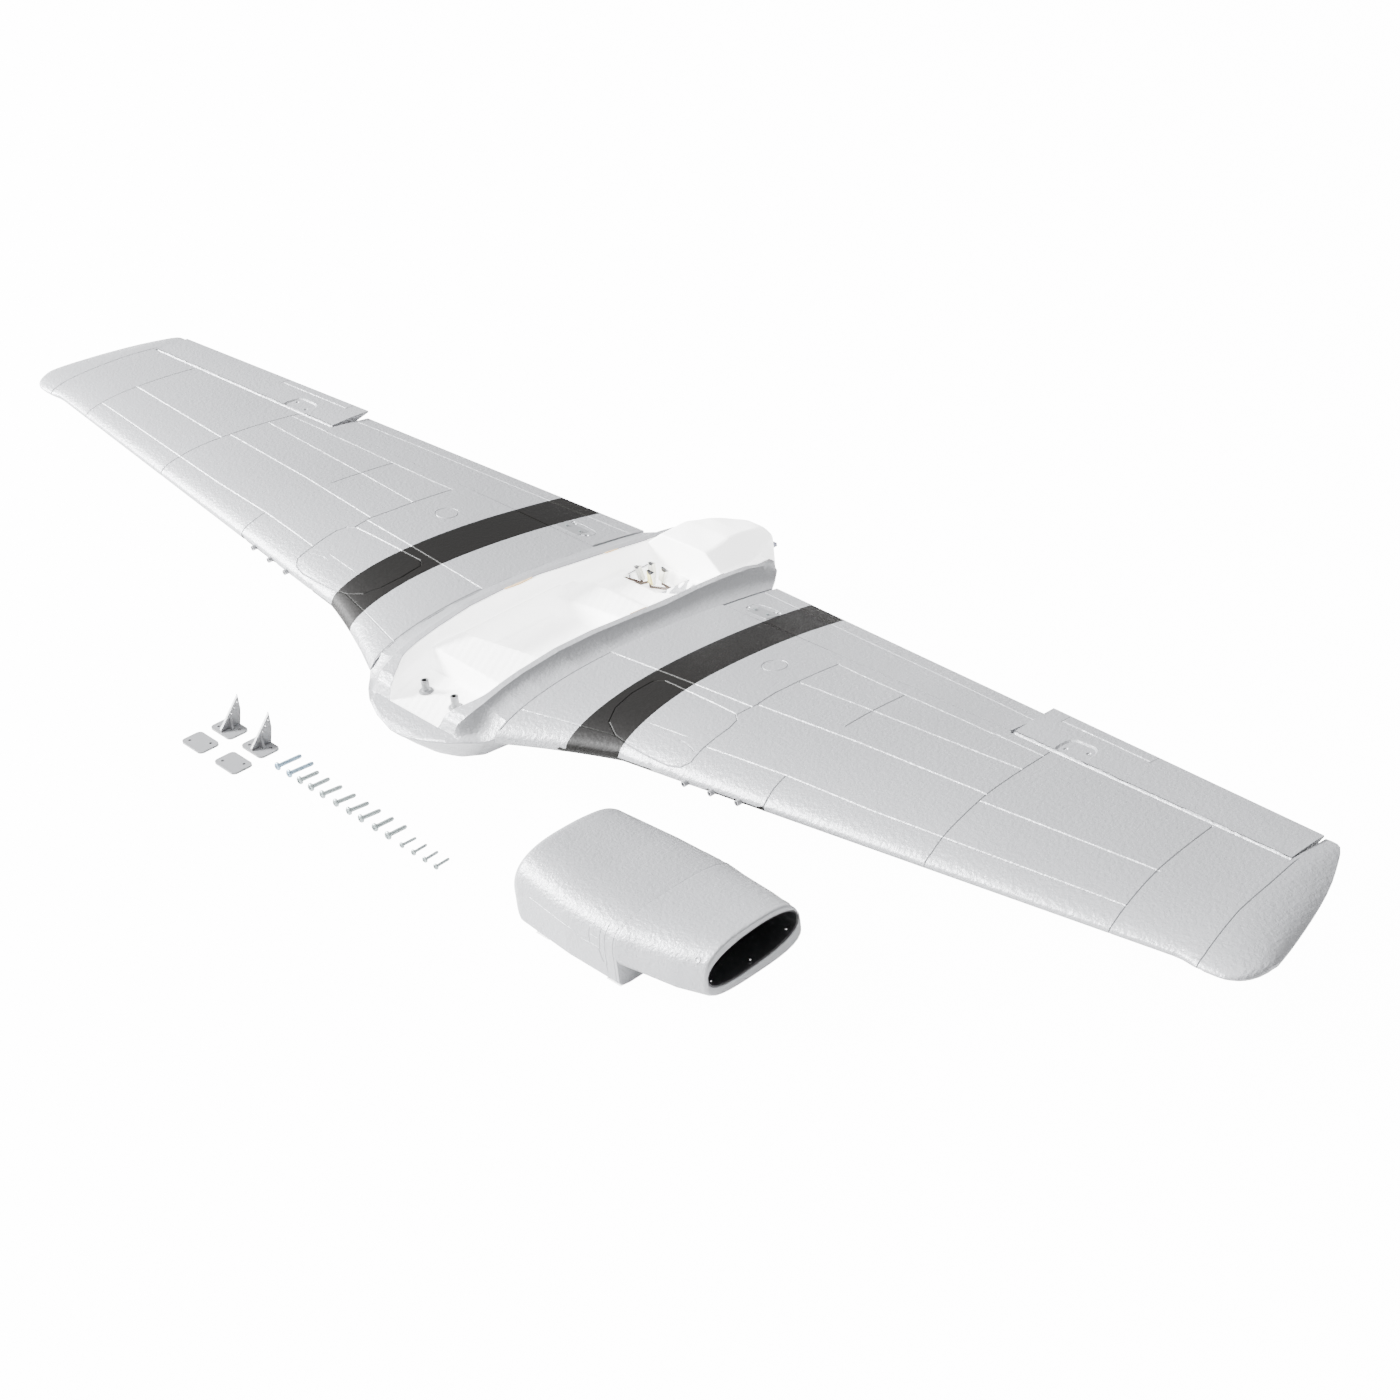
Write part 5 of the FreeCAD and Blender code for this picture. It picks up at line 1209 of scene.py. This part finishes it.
# ------------------------------------------------------------------ belly scoop
# a box at the closed end, then a duct; columns: distance along, half width, shoulder z, top z,
# bottom z, exponents of the lower and the upper half; heights are over the bench
BOX = np.array([
    (-14.5, 39.6, 17.0, 41.2, 0.0, 12.0, 2.6), (-7.5, 43.1, 19.8, 45.8, 0.0, 14.0, 3.0),
    (40.0, 46.8, 20.8, 43.6, 0.0, 14.0, 3.0), (84.0, 47.0, 21.0, 43.4, 0.0, 14.0, 3.0)])
DUCT = np.array([
    (84.0, 47.0, 21.0, 43.4, 7.0, 2.4, 3.0), (98.0, 44.6, 21.6, 44.0, 8.0, 2.6, 3.0),
    (124.0, 41.2, 23.0, 45.6, 10.0, 3.0, 3.0), (147.0, 36.4, 24.9, 47.4, 13.2, 3.0, 3.0)])
BOX_END, MOUTH = 84.0, 147.0
SCOOP_ORIGIN = np.array([193.84, -45.5, BENCH_Z])
SCOOP_COS, SCOOP_SIN = math.cos(math.radians(1.26)), math.sin(math.radians(1.26))
AROUND = 150            # points around the scoop
LINING_RINGS = 11       # last rings, which line the duct in black


def place(along, across, height):
    along, across, height = np.broadcast_arrays(along, across, height)
    return np.stack([along * SCOOP_COS - across * SCOOP_SIN,
                     along * SCOOP_SIN + across * SCOOP_COS, height], -1) + SCOOP_ORIGIN


def oval(angles, half, shoulder, top, low, low_power, top_power):
    """Superellipse with different upper and lower halves: distances across, heights."""
    c, s = np.cos(angles), np.sin(angles)
    power = np.where(s >= 0, top_power, low_power)
    across = half * np.sign(c) * np.abs(c) ** (2 / power)
    height = np.where(s >= 0, top - shoulder, shoulder - low) * np.sign(s) * np.abs(s) ** (2 / power)
    return across, shoulder + height


def scoop_values(rows, along):
    return [np.interp(along, rows[:, 0], rows[:, i]) for i in range(1, 7)]


def scoop_ring(rows, along, angles, inset=0.0, at=None):
    """Section of the rows at a distance, put down there or at another distance."""
    half, shoulder, top, low, *powers = scoop_values(rows, along)
    section = oval(angles, half - inset, shoulder, top - inset, low + inset, *powers)
    return place(float(along if at is None else at), *section)


def mouth_ring(along, grow=0.0):
    """The opening: a flatter, rounder oval than the skin, with a thick lower lip."""
    across, height = oval(EVEN_ANGLES, half=34.9 + grow, shoulder=30.8, top=43.3 + grow,
                          low=19.4 - grow, low_power=2.7, top_power=2.25)
    return place(float(along), across, height + 0.045 * across)


def even_angles(rows, along, count):
    """Angles that space the points of a ring evenly."""
    angles = np.linspace(-math.pi, math.pi, 1441)
    steps = np.linalg.norm(np.diff(scoop_ring(rows, along, angles), axis=0), axis=1)
    length = np.concatenate([[0], np.cumsum(steps)])
    return np.interp(np.linspace(0, length[-1], count + 1)[:-1], length, angles)


EVEN_ANGLES = even_angles(BOX, 40.0, AROUND)


def scoop_rings():
    """From the rounded closed end over the box, the step and the duct to the rolled lip."""
    def box(along, inset=0.0):
        return scoop_ring(BOX, along, EVEN_ANGLES, inset)

    def duct(along, inset=0.0, at=None):
        return scoop_ring(DUCT, along, EVEN_ANGLES, inset, at)

    end = box(-14.5)
    middle = end.mean(0)
    rings = [middle + (end - middle) * k for k in (0.02, 0.35, 0.7, 0.93)]
    rings += [box(s, inset) for s, inset in ((-14.2, 0.25), (-13.4, 0.25), (-12, 0), (-10, 0))]
    rings += [box(s) for s in np.arange(-8.0, 83.0, 2.0)]
    rings += [box(83.7), box(BOX_END, 0.15), duct(84.02, 0.15), duct(84.5)]
    rings += [duct(s) for s in np.arange(86.0, 144.5, 2.0)]
    rings += [duct(s, inset) for s, inset in ((145.4, 0.0), (146.4, 0.25), (146.9, 0.8))]
    skin, opening = duct(MOUTH, 1.2), mouth_ring(MOUTH, 0.5)
    rings += [skin + (opening - skin) * k for k in (0.0, 0.5, 1.0)]
    rings += [mouth_ring(146.8, 0.1), mouth_ring(146.3)]
    rings += [mouth_ring(s) for s in (144.5, 138, 130, 122, 114, 108, 104)]
    rings += [duct(max(s, BOX_END), 3.0, at=s) for s in (100, 92, 82)]
    return np.array(rings), middle


def local_frame(points):
    """Distances along and across the scoop, and heights over the bench."""
    x, y, z = (points - SCOOP_ORIGIN).T
    return x * SCOOP_COS + y * SCOOP_SIN, -x * SCOOP_SIN + y * SCOOP_COS, z


def scoop_outside():
    """Skin and duct: points, triangles, normals and slots."""
    rings, end_middle = scoop_rings()
    count = len(rings)
    points = np.concatenate([rings.reshape(-1, 3), [end_middle]])
    cap = [(k, (k + 1) % AROUND, count * AROUND) for k in range(AROUND)]
    tri = np.concatenate([grid_triangles(count, AROUND, closed=True), np.array(cap)])
    middle = points[tri].mean(1)
    along = local_frame(points)[0][tri[:, 0]]
    box_top = (along > 20) & (along < 60) & (middle[:, 2] > BENCH_Z + 40)
    if np.median(face_cross(points[tri])[box_top, 2]) < 0:
        tri = tri[:, ::-1]
    # the box is open towards the bench: leave its underside out
    underside = ((points[tri][:, :, 2].max(1) < BENCH_Z + 0.4)
                 & (middle[:, 0] < SCOOP_ORIGIN[0] + 80) & (middle[:, 0] > SCOOP_ORIGIN[0] - 11))
    row = np.arange((count - 1) * AROUND) // AROUND
    lining = row >= count - LINING_RINGS
    lining = np.concatenate([lining, lining, np.zeros(AROUND, bool)])[~underside]
    tri = tri[~underside]
    normals = vertex_normals(points, tri)[tri]
    facing = unit(face_cross(points[tri]))
    hard = (normals * facing[:, None, :]).sum(2).min(1) < 0.80
    normals[hard] = facing[hard][:, None, :]
    return points, tri, normals, lining.astype(int)


def scoop_inside():
    """The CAD inside of the box (ledges, walls, pockets)."""
    points, tri, normals = cad_mesh("scoop_shell")
    along, across, z = local_frame(points[tri].mean(1))
    half, shoulder, top, low, low_power, top_power = scoop_values(BOX, along)
    reach = np.where(z >= shoulder, top - shoulder, shoulder - low)
    power = np.where(z >= shoulder, top_power, low_power)
    fullness = (np.abs(across) / half) ** power + (np.abs(z - shoulder) / reach) ** power
    inner = (fullness < 0.86) & (along < 83.5) & (along > -13.5)
    inner |= (z < 0.3) & (np.abs(across) < half + 0.2) & (along < BOX_END)
    used, renumbered = np.unique(tri[inner], return_inverse=True)
    return points[used], renumbered.reshape(-1, 3), normals[inner], np.full(inner.sum(), 2)


def build_liner():
    """Dark liner just inside the mouth, with three small bright metal domes on its lower lip."""
    # distance along, growth of the opening
    stations = ((146.5, -0.05), (146.4, -0.9), (145.5, -1.0), (136, -1.0), (126, -1.0),
                (116, -1.0), (106, -1.0), (105, -1.4), (104.6, -6.0), (104.5, -11.0))
    rings = np.array([mouth_ring(*station) for station in stations])
    add_piece("scoop_intake_liner_dark", "scoop_intake_liner", rings.reshape(-1, 3),
              grid_triangles(len(stations), AROUND, closed=True), [BLACK_PLASTIC])
    bright_dome = [(0.02, 1.2), (0.55, 1.15), (0.75, 0.9), (0.75, -0.6)]
    for k, (across, height) in enumerate(((-30.5, 24.5), (-1.0, 21.6), (27.5, 26.0))):
        points, tri = revolve(bright_dome, 16, place(143.2, across, height), (0.55, 0.0, 0.85))
        add_piece("liner_rivet_%d" % k, "scoop_intake_liner", points, tri, [MATERIAL["magnet"]])


def build_scoop_skin():
    pieces = [scoop_outside(), scoop_inside()]
    points, tri = join([piece[:2] for piece in pieces])
    add_piece("scoop_skin", "scoop_shell", points, tri, [GREY, BLACK_PLASTIC, WHITE],
              np.concatenate([piece[3] for piece in pieces]),
              np.concatenate([piece[2] for piece in pieces]),
              slot=PAINT_SLOT, groove=np.zeros(len(points)))


def flank_point(along, height, side):
    """A point on the scoop's flank at a height over the bench, and the outward normal."""
    rows = BOX if along < BOX_END else DUCT
    first = math.pi / 2 if side < 0 else -math.pi / 2
    angles = np.linspace(first, first + math.pi, 1200)
    ring = scoop_ring(rows, along, angles)
    angle = float(angles[int(np.abs(ring[:, 2] - BENCH_Z - height).argmin())])
    if angle > math.pi:
        angle -= 2 * math.pi

    def at(s, a):
        return scoop_ring(rows, s, np.array([a]))[0]

    point = at(along, angle)
    normal = unit(np.cross(at(along + 0.05, angle) - at(along - 0.05, angle),
                           at(along, angle + 0.01) - at(along, angle - 0.01)))
    if (normal * (point - (SCOOP_ORIGIN + np.array([along, 0, 20.0])))).sum() < 0:
        normal = -normal
    return point, normal


def outward_faces(points, triangles, normal, last=0):
    """Turn the triangles if they (or only the last few) face against the normal."""
    if (face_cross(points[triangles])[-last:] * normal).sum() < 0:
        return triangles[:, ::-1]
    return triangles


def add_ridge(name, path, width, lift):
    """A low raised line laid along a path of (point, normal)."""
    section = ((-0.5, -0.25), (-0.30, 0.55), (0.0, 0.85), (0.30, 0.55), (0.5, -0.25))
    points = []
    for i, (p, normal) in enumerate(path):
        along = unit(path[min(len(path) - 1, i + 1)][0] - path[max(0, i - 1)][0])
        across = unit(np.cross(normal, along))
        points += [p + across * (w * width) + normal * (h * lift) for w, h in section]
    points = np.array(points)
    tri = outward_faces(points, grid_triangles(len(path), len(section), paired=True), path[0][1])
    add_piece(name, "scoop_shell", points, tri, [GREY], slot=PAINT_SLOT)


def build_flank_lines(tag, side):
    along = np.linspace(6, 72, 24)
    heights = np.interp(along, [6, 46, 72], [25.5, 23.3, 17.0])
    add_ridge("scoop_seam_" + tag, [flank_point(s, z, side) for s, z in zip(along, heights)],
              width=0.7, lift=0.28)
    for k, s in enumerate((74.5, 81.5)):
        path = [flank_point(s, z, side) for z in np.linspace(37.0, 1.0, 22)]
        add_ridge("scoop_band_%s_%d" % (tag, k), path, width=0.8, lift=0.3)
    corners = [(61.5, 33.5), (70.5, 33.5), (70.5, 21.5), (61.5, 21.5), (61.5, 33.5)]
    path = []
    for (s0, z0), (s1, z1) in zip(corners[:-1], corners[1:]):
        for k in range(6):
            path.append(flank_point(s0 + (s1 - s0) * k / 6, z0 + (z1 - z0) * k / 6, side))
    add_ridge("scoop_latch_" + tag, path, width=0.7, lift=0.28)
    add_ridge("scoop_latch_bar_" + tag,
              [flank_point(s, 27.6, side) for s in np.linspace(62.5, 69.5, 6)],
              width=0.6, lift=0.25)


def build_dimple(tag, side):
    """Moulded ring with a sunken middle beside the mouth."""
    centre, normal = flank_point(139.0, 39.1, side)
    first = unit(np.cross(normal, np.array([0, 0, 1.0])))
    profile = ((2.3, -0.05), (1.9, 0.22), (1.45, 0.20), (1.1, -0.02), (0.1, 0.0))
    points, tri = revolve(profile, 20, centre, normal, (first, np.cross(normal, first)))
    add_piece("scoop_dimple_" + tag, "scoop_shell", points,
              outward_faces(points, tri, normal, last=8), [GREY], slot=PAINT_SLOT)


build_liner()
build_scoop_skin()
for build in (build_flank_lines, build_dimple):
    for tag, side in (("near", -1), ("far", 1)):
        build(tag, side)


# ------------------------------------------------------------------ wing bolt posts
POST_X = 15.93
RIB_PITCH = 1.35


def post_profile():
    """(radius, z): up the outside with its collar and ribs, then down the bore."""
    profile = [(1.6, -20.8), (2.6, -20.9), (2.72, -20.5), (2.72, -9.0), (4.7, -8.98),
               (4.96, -8.8), (4.96, -8.05), (4.75, -7.82), (3.3, -7.8), (2.85, -7.5),
               (2.62, -7.0)]
    z = -6.6
    while z < -1.2:
        profile += [(2.50, z), (2.70, z + 0.25), (2.70, z + 0.65), (2.50, z + 0.9)]
        z += RIB_PITCH
    return profile + [(2.60, -1.0), (2.72, -0.75), (2.72, -0.2), (2.5, -0.02), (1.95, -0.02),
                      (1.75, -0.2), (1.6, -0.6), (1.6, -20.8)]


for side, sign in SIDES:
    points, tri = revolve(post_profile(), 44, (sign * POST_X, 0, 0), (0, 0, 1))
    middle = points[tri].mean(1)
    bore = (np.hypot(middle[:, 0] - sign * POST_X, middle[:, 1]) < 1.72) & (middle[:, 2] > -20)
    add_piece("wing_bolt_post_%s_ribbed" % side, "wing_bolt_post_" + side, points, tri,
              [MATERIAL["post_plastic"], BLACK_PLASTIC], bore)

# ------------------------------------------------------------------ screws
HEAD_Y = -88.6          # the heads lie in one row
SCREW_AROUND = 40       # points around a screw
HEAD_RINGS = (0.0, 0.15, 0.3, 0.42, 0.5, 0.58, 0.66, 0.74, 0.86, 0.95, 1.0)  # shares of radius
PLAIN_NECK = 0.8        # length under the head without thread
Screw = namedtuple("Screw", "radius length head_radius head_height pitch")
# size, then a row of (x, heading in degrees)
SCREWS = {
    "screws_long": (Screw(1.5, 18.0, 2.75, 2.0, 0.75), [(-69.8, 92.0), (-56.2, 90.5)]),
    "screws_medium": (Screw(1.5, 14.0, 2.75, 2.0, 0.85), [
        (-43.7, 92.5), (-31.0, 93.5), (-18.0, 88.9), (-2.9, 88.6), (11.5, 88.2), (24.8, 89.2),
        (40.0, 94.5), (54.0, 95.0)]),
    "screws_small": (Screw(1.0, 11.0, 2.0, 1.4, 0.65), [
        (68.4, 95.0), (80.6, 100.0), (92.4, 100.5), (103.7, 100.0)])}


def screw_mesh(size, head, along, turn):
    """Pan head with a cross recess on a threaded shank; along points from head to tip, turn is
    the angle of the cross."""
    first = unit(np.cross(along, np.array([0, 0, 1.0])))
    second = np.cross(along, first)
    angles = [2 * math.pi * k / SCREW_AROUND for k in range(SCREW_AROUND)]
    points = []

    def add_point(height, angle, radius):
        points.append(head + along * height
                      + (first * math.cos(angle) + second * math.sin(angle)) * radius)

    tall = size.head_height
    arm, half_slot = 0.62 * size.head_radius, 0.17 * size.head_radius
    for q in HEAD_RINGS:
        radius = q * size.head_radius
        for angle in angles:
            u, v = radius * math.cos(angle + turn), radius * math.sin(angle + turn)
            z = -tall / 2 + tall * (0.10 * q * q + 0.30 * max(0.0, q - 0.7) ** 2 / 0.09)
            if ((abs(u) < half_slot and abs(v) < arm) or (abs(v) < half_slot and abs(u) < arm)):
                z += 0.42 * tall * (1 - 0.4 * q)
            add_point(z, angle, max(radius, 0.01))
    for radius, z in ((size.head_radius, tall / 2 - 0.25), (size.head_radius - 0.2, tall / 2),
                      (size.radius, tall / 2)):
        for angle in angles:
            add_point(z, angle, radius)
    count = int(size.length / (size.pitch / 7))
    start = tall / 2 - 0.1
    for i in range(count + 1):
        s = size.length * i / count
        taper = min(1.0, 0.72 + (size.length - s) / (0.9 * size.radius) * 0.28)
        for k, angle in enumerate(angles):
            radius = size.radius
            if s > PLAIN_NECK:
                phase = (s / size.pitch - k / SCREW_AROUND) % 1.0
                tooth = 1 - abs(phase - 0.5) * 2
                radius = size.radius - 0.10 * size.radius * (1 - tooth ** 1.3)
            add_point(start + s, angle, radius * taper)
    rings = len(HEAD_RINGS) + 3 + count + 1
    last = (rings - 1) * SCREW_AROUND
    tip = [(last + k, last + (k + 1) % SCREW_AROUND, len(points)) for k in range(SCREW_AROUND)]
    points.append(head + along * (start + size.length))
    tri = grid_triangles(rings, SCREW_AROUND, closed=True, paired=True)
    return np.array(points), np.concatenate([tri, np.array(tip)])


def build_screws(name, size, row):
    """A row of screws, each resting on the rim of its head and on its tip."""
    tilt = math.asin((size.head_radius - size.radius) / size.length)
    head_z = (BENCH_Z + size.head_radius * math.cos(tilt) + 0.02
              + size.head_height * math.sin(tilt))
    parts = []
    for x, degrees in row:
        heading = math.radians(degrees)
        along = np.array([math.cos(tilt) * math.cos(heading),
                          math.cos(tilt) * math.sin(heading), -math.sin(tilt)])
        parts.append(screw_mesh(size, np.array([x, HEAD_Y, head_z]), along,
                                rng.uniform(0, 1.5)))
    points, tri = join(parts)
    # outward faces: compare part of the first shank with its axis
    first_face = (len(HEAD_RINGS) + 3) * 2 * SCREW_AROUND
    corners = points[tri[first_face:first_face + 2000]]
    x, degrees = row[0]
    heading = math.radians(degrees)
    axis = np.array([math.cos(heading), math.sin(heading), 0])
    out = corners.mean(1) - np.array([x, HEAD_Y, BENCH_Z + size.head_radius])
    out -= (out @ axis)[:, None] * axis
    if np.median((face_cross(corners) * out).sum(1)) < 0:
        tri = tri[:, ::-1]
    zinc = "zinc_steel_blue" if name == "screws_long" else "zinc_steel"
    ob = add_piece(name + "_threaded", name, points, tri, [MATERIAL[zinc]])
    ob.data.set_sharp_from_angle(angle=math.radians(38))


for name, (size, row) in SCREWS.items():
    build_screws(name, size, row)


# ------------------------------------------------------------------ plugs and gun muzzles
def recolour(node, name, materials, pick, slot=None, size=1.0):
    """The node's own shape, scaled about its foot, with more than one finish."""
    points, tri, normals = cad_mesh(node)
    foot = np.array([*((points.min(0) + points.max(0)) / 2)[:2], points[:, 2].min()])
    points = foot + (points - foot) * size
    corners = points[tri]
    add_piece(name, node, points, tri, materials,
              pick(corners.mean(1), unit(face_cross(corners))), normals, slot=slot,
              groove=np.zeros(len(points)))


def plug_slots(middle, facing):
    """Black top, and one yellow stretch along x."""
    yellow = within(middle[:, 0], (-17.5, -12))
    return np.where(middle[:, 2] > middle[:, 2].max() - 2.2, 1, np.where(yellow, 2, 0))


def muzzle_shade_slots(middle, facing):
    """Painted shade: black where the face looks down, on the muzzles' undersides."""
    return np.where(facing[:, 2] < -0.55, 1, 0)


PLUG_MATERIALS = [MATERIAL["connector_cream"], BLACK_PLASTIC, MATERIAL["connector_yellow"]]
for side, _ in SIDES:
    recolour("servo_plugs_" + side, "servo_plugs_%s_two_tone" % side, PLUG_MATERIALS,
             plug_slots, size=0.8)
    # painted shade: the muzzles' downward faces take the black paint
    recolour("gun_muzzles_" + side, "gun_muzzles_%s_painted" % side, [GREY, BLACK],
             muzzle_shade_slots, PAINT_SLOT)

# ------------------------------------------------------------------ loose control horns
# they lean back over their base
HORN_LEAN = 6.0         # how far the top moves towards +y
HORN_BASE = 2.0         # height of the upright base
for tag in ("front", "rear"):
    points, tri, normals = cad_mesh("control_horn_" + tag)
    base_z = points[:, 2].min() + HORN_BASE
    lean = HORN_LEAN / (points[:, 2].max() - base_z)
    leant = points.copy()
    leant[:, 1] = np.minimum(points[:, 1] + lean * np.maximum(points[:, 2] - base_z, 0.0),
                             points[:, 1].max())
    normals = normals.reshape(-1, 3).copy()
    upper = (points[tri][:, :, 2].mean(1) > base_z + 0.3).repeat(3)
    normals[upper, 2] -= lean * normals[upper, 1]
    add_piece("control_horn_%s_leaning" % tag, "control_horn_" + tag, leant, tri, [PLASTIC],
              normals=unit(normals))

# ------------------------------------------------------------------ finishes of the CAD nodes
# start of the node's name -> material; the longest match counts
FINISH = {
    "center_section": "white_foam", "trough_ply_doublers": "plywood",
    "scoop_magnets_wing": "magnet", "scoop_magnets": "magnet",
    "tail_tongue": "blue_grey_plastic", "gear_mount": "grey_plastic",
    "gun_muzzles": "black_plastic", "wing_bolt_post": "post_plastic",
    "servo_leads": "lead_wire", "servo_plugs": "black_plastic",
    "flap_hinges": "hinge_nylon", "aileron_hinges": "hinge_nylon",
    "flap_hinge_pin": "steel_wire", "aileron_hinge_pin": "steel_wire",
    "flap_pushrod": "steel_wire", "main_spar": "carbon_tube",
    "flap_servo_arm": "arm_nylon", "aileron_servo_arm": "arm_nylon",
    "flap_servo": "black_plastic", "aileron_servo": "black_plastic",
    "flap_horn_screws": "zinc_steel", "flap_horn_plate": "grey_plastic",
    "flap_horn": "grey_plastic", "flap_clevis": "grey_plastic",
    "control_horn": "grey_plastic", "horn_back_plate": "grey_plastic",
    "scoop_intake_liner": "black_plastic", "scoop_shell": "grey_foam_paint",
    "screws_long": "zinc_steel_blue", "screws_medium": "zinc_steel",
    "screws_small": "zinc_steel"}
for name, ob in NODES.items():
    if ob.hide_render:
        continue
    match = max((key for key in FINISH if name.startswith(key)), key=len, default=None)
    ob.data.materials.clear()
    ob.data.materials.append(MATERIAL[FINISH.get(match, "grey_plastic")])
    for polygon in ob.data.polygons:
        polygon.material_index = 0

# ------------------------------------------------------------------ floor, light, camera (metres)
SKY = 0.75              # strength of the sky as a light
FLOOR_GLOW = 0.5        # glow of the floor as a light
PAPER = 16.0            # brightness of floor and sky seen directly
FLOOR_RADIUS = 9.0
FLOOR_SIDES = 48
# name, place, target, size, power
LIGHTS = [
    ("key", (-2.6, -1.7, 1.7), (0.0, 0.1, 0.0), (1.1, 1.1), 1180.0),
    ("top", (-0.2, -0.2, 2.9), (0.0, 0.1, 0.0), (2.0, 2.0), 110.0),
    ("fill", (2.4, -1.2, 1.3), (0.0, 0.0, 0.0), (1.3, 1.3), 6.0)]
CAMERA_PLACE = (1.180374, -0.732654, 0.793374)
CAMERA_TURN = ((0.66585638, -0.32800447, 0.6701107), (0.73986583, 0.40597934, -0.53645068),
               (-0.09609288, 0.85299112, 0.51300323))


def add_object(name, data):
    ob = bpy.data.objects.new(name, data)
    bpy.context.scene.collection.objects.link(ob)
    return ob


def mix_shaders(tree, factor, a, b):
    node = tree.nodes.new("ShaderNodeMixShader")
    for socket, value in zip(node.inputs, (factor, a, b)):
        tree.links.new(value, socket)
    return node.outputs[0]


def floor_material():
    """Paper that is close to pure white seen from above, and clear seen from underneath."""
    material, tree, shader = new_material("studio_floor")
    colour = ramp(tree, noise(tree, scale=3.0, detail=2.0), (0.3, grey(0.93)), (0.7, grey(0.95)))
    tree.links.new(colour, shader.inputs["Base Color"])
    for key, value in (("Roughness", 0.9), ("Specular IOR Level", 0.1),
                       ("Emission Color", (1, 1, 1, 1)), ("Emission Strength", FLOOR_GLOW)):
        shader.inputs[key].default_value = value
    seen = tree.nodes.new("ShaderNodeLightPath").outputs["Is Camera Ray"]
    bright = tree.nodes.new("ShaderNodeEmission")
    bright.inputs[0].default_value = (1, 1, 1, 1)
    bright.inputs[1].default_value = PAPER
    paper = mix_shaders(tree, calc(tree, "MULTIPLY", seen, 0.9), shader.outputs[0],
                        bright.outputs[0])
    below = tree.nodes.new("ShaderNodeNewGeometry").outputs["Backfacing"]
    clear = tree.nodes.new("ShaderNodeBsdfTransparent")
    result = mix_shaders(tree, calc(tree, "MULTIPLY", seen, below), paper, clear.outputs[0])
    output = next(node for node in tree.nodes if node.type == "OUTPUT_MATERIAL")
    tree.links.new(result, output.inputs[0])
    return material


def build_floor():
    material = floor_material()
    me = bpy.data.meshes.new("floor")
    z = (BENCH_Z - 0.15) / 1000
    angles = [2 * math.pi * k / FLOOR_SIDES for k in range(FLOOR_SIDES)]
    ring = [(FLOOR_RADIUS * math.cos(a), FLOOR_RADIUS * math.sin(a), z) for a in angles]
    me.from_pydata(ring, [], [tuple(range(FLOOR_SIDES))])
    me.materials.append(material)
    add_object("floor", me)


def build_world():
    world = bpy.data.worlds.new("studio")
    bpy.context.scene.world = world
    world.use_nodes = True
    tree = world.node_tree
    background = tree.nodes["Background"]
    background.inputs[0].default_value = (1.0, 1.0, 1.0, 1)
    seen = tree.nodes.new("ShaderNodeLightPath").outputs["Is Camera Ray"]
    strength = calc(tree, "ADD", calc(tree, "MULTIPLY", seen, PAPER), SKY)
    tree.links.new(strength, background.inputs[1])


def build_light(name, location, target, size, power):
    light = bpy.data.lights.new(name, "AREA")
    light.shape = "RECTANGLE"
    light.size, light.size_y = size
    light.energy = power
    light.color = (1, 1, 1)
    ob = add_object(name, light)
    ob.location = location
    ob.rotation_mode = "QUATERNION"
    ob.rotation_quaternion = (Vector(target) - Vector(location)).to_track_quat("-Z", "Y")


def build_camera():
    data = bpy.data.cameras.new("camera")
    data.lens, data.sensor_width = 63.66, 36.0
    data.clip_start, data.clip_end = 0.05, 60.0
    camera = add_object("camera", data)
    camera.matrix_world = (Matrix.Translation(Vector(CAMERA_PLACE))
                           @ Matrix(CAMERA_TURN).to_4x4())
    bpy.context.scene.camera = camera


build_floor()
build_world()
for row in LIGHTS:
    build_light(*row)
build_camera()
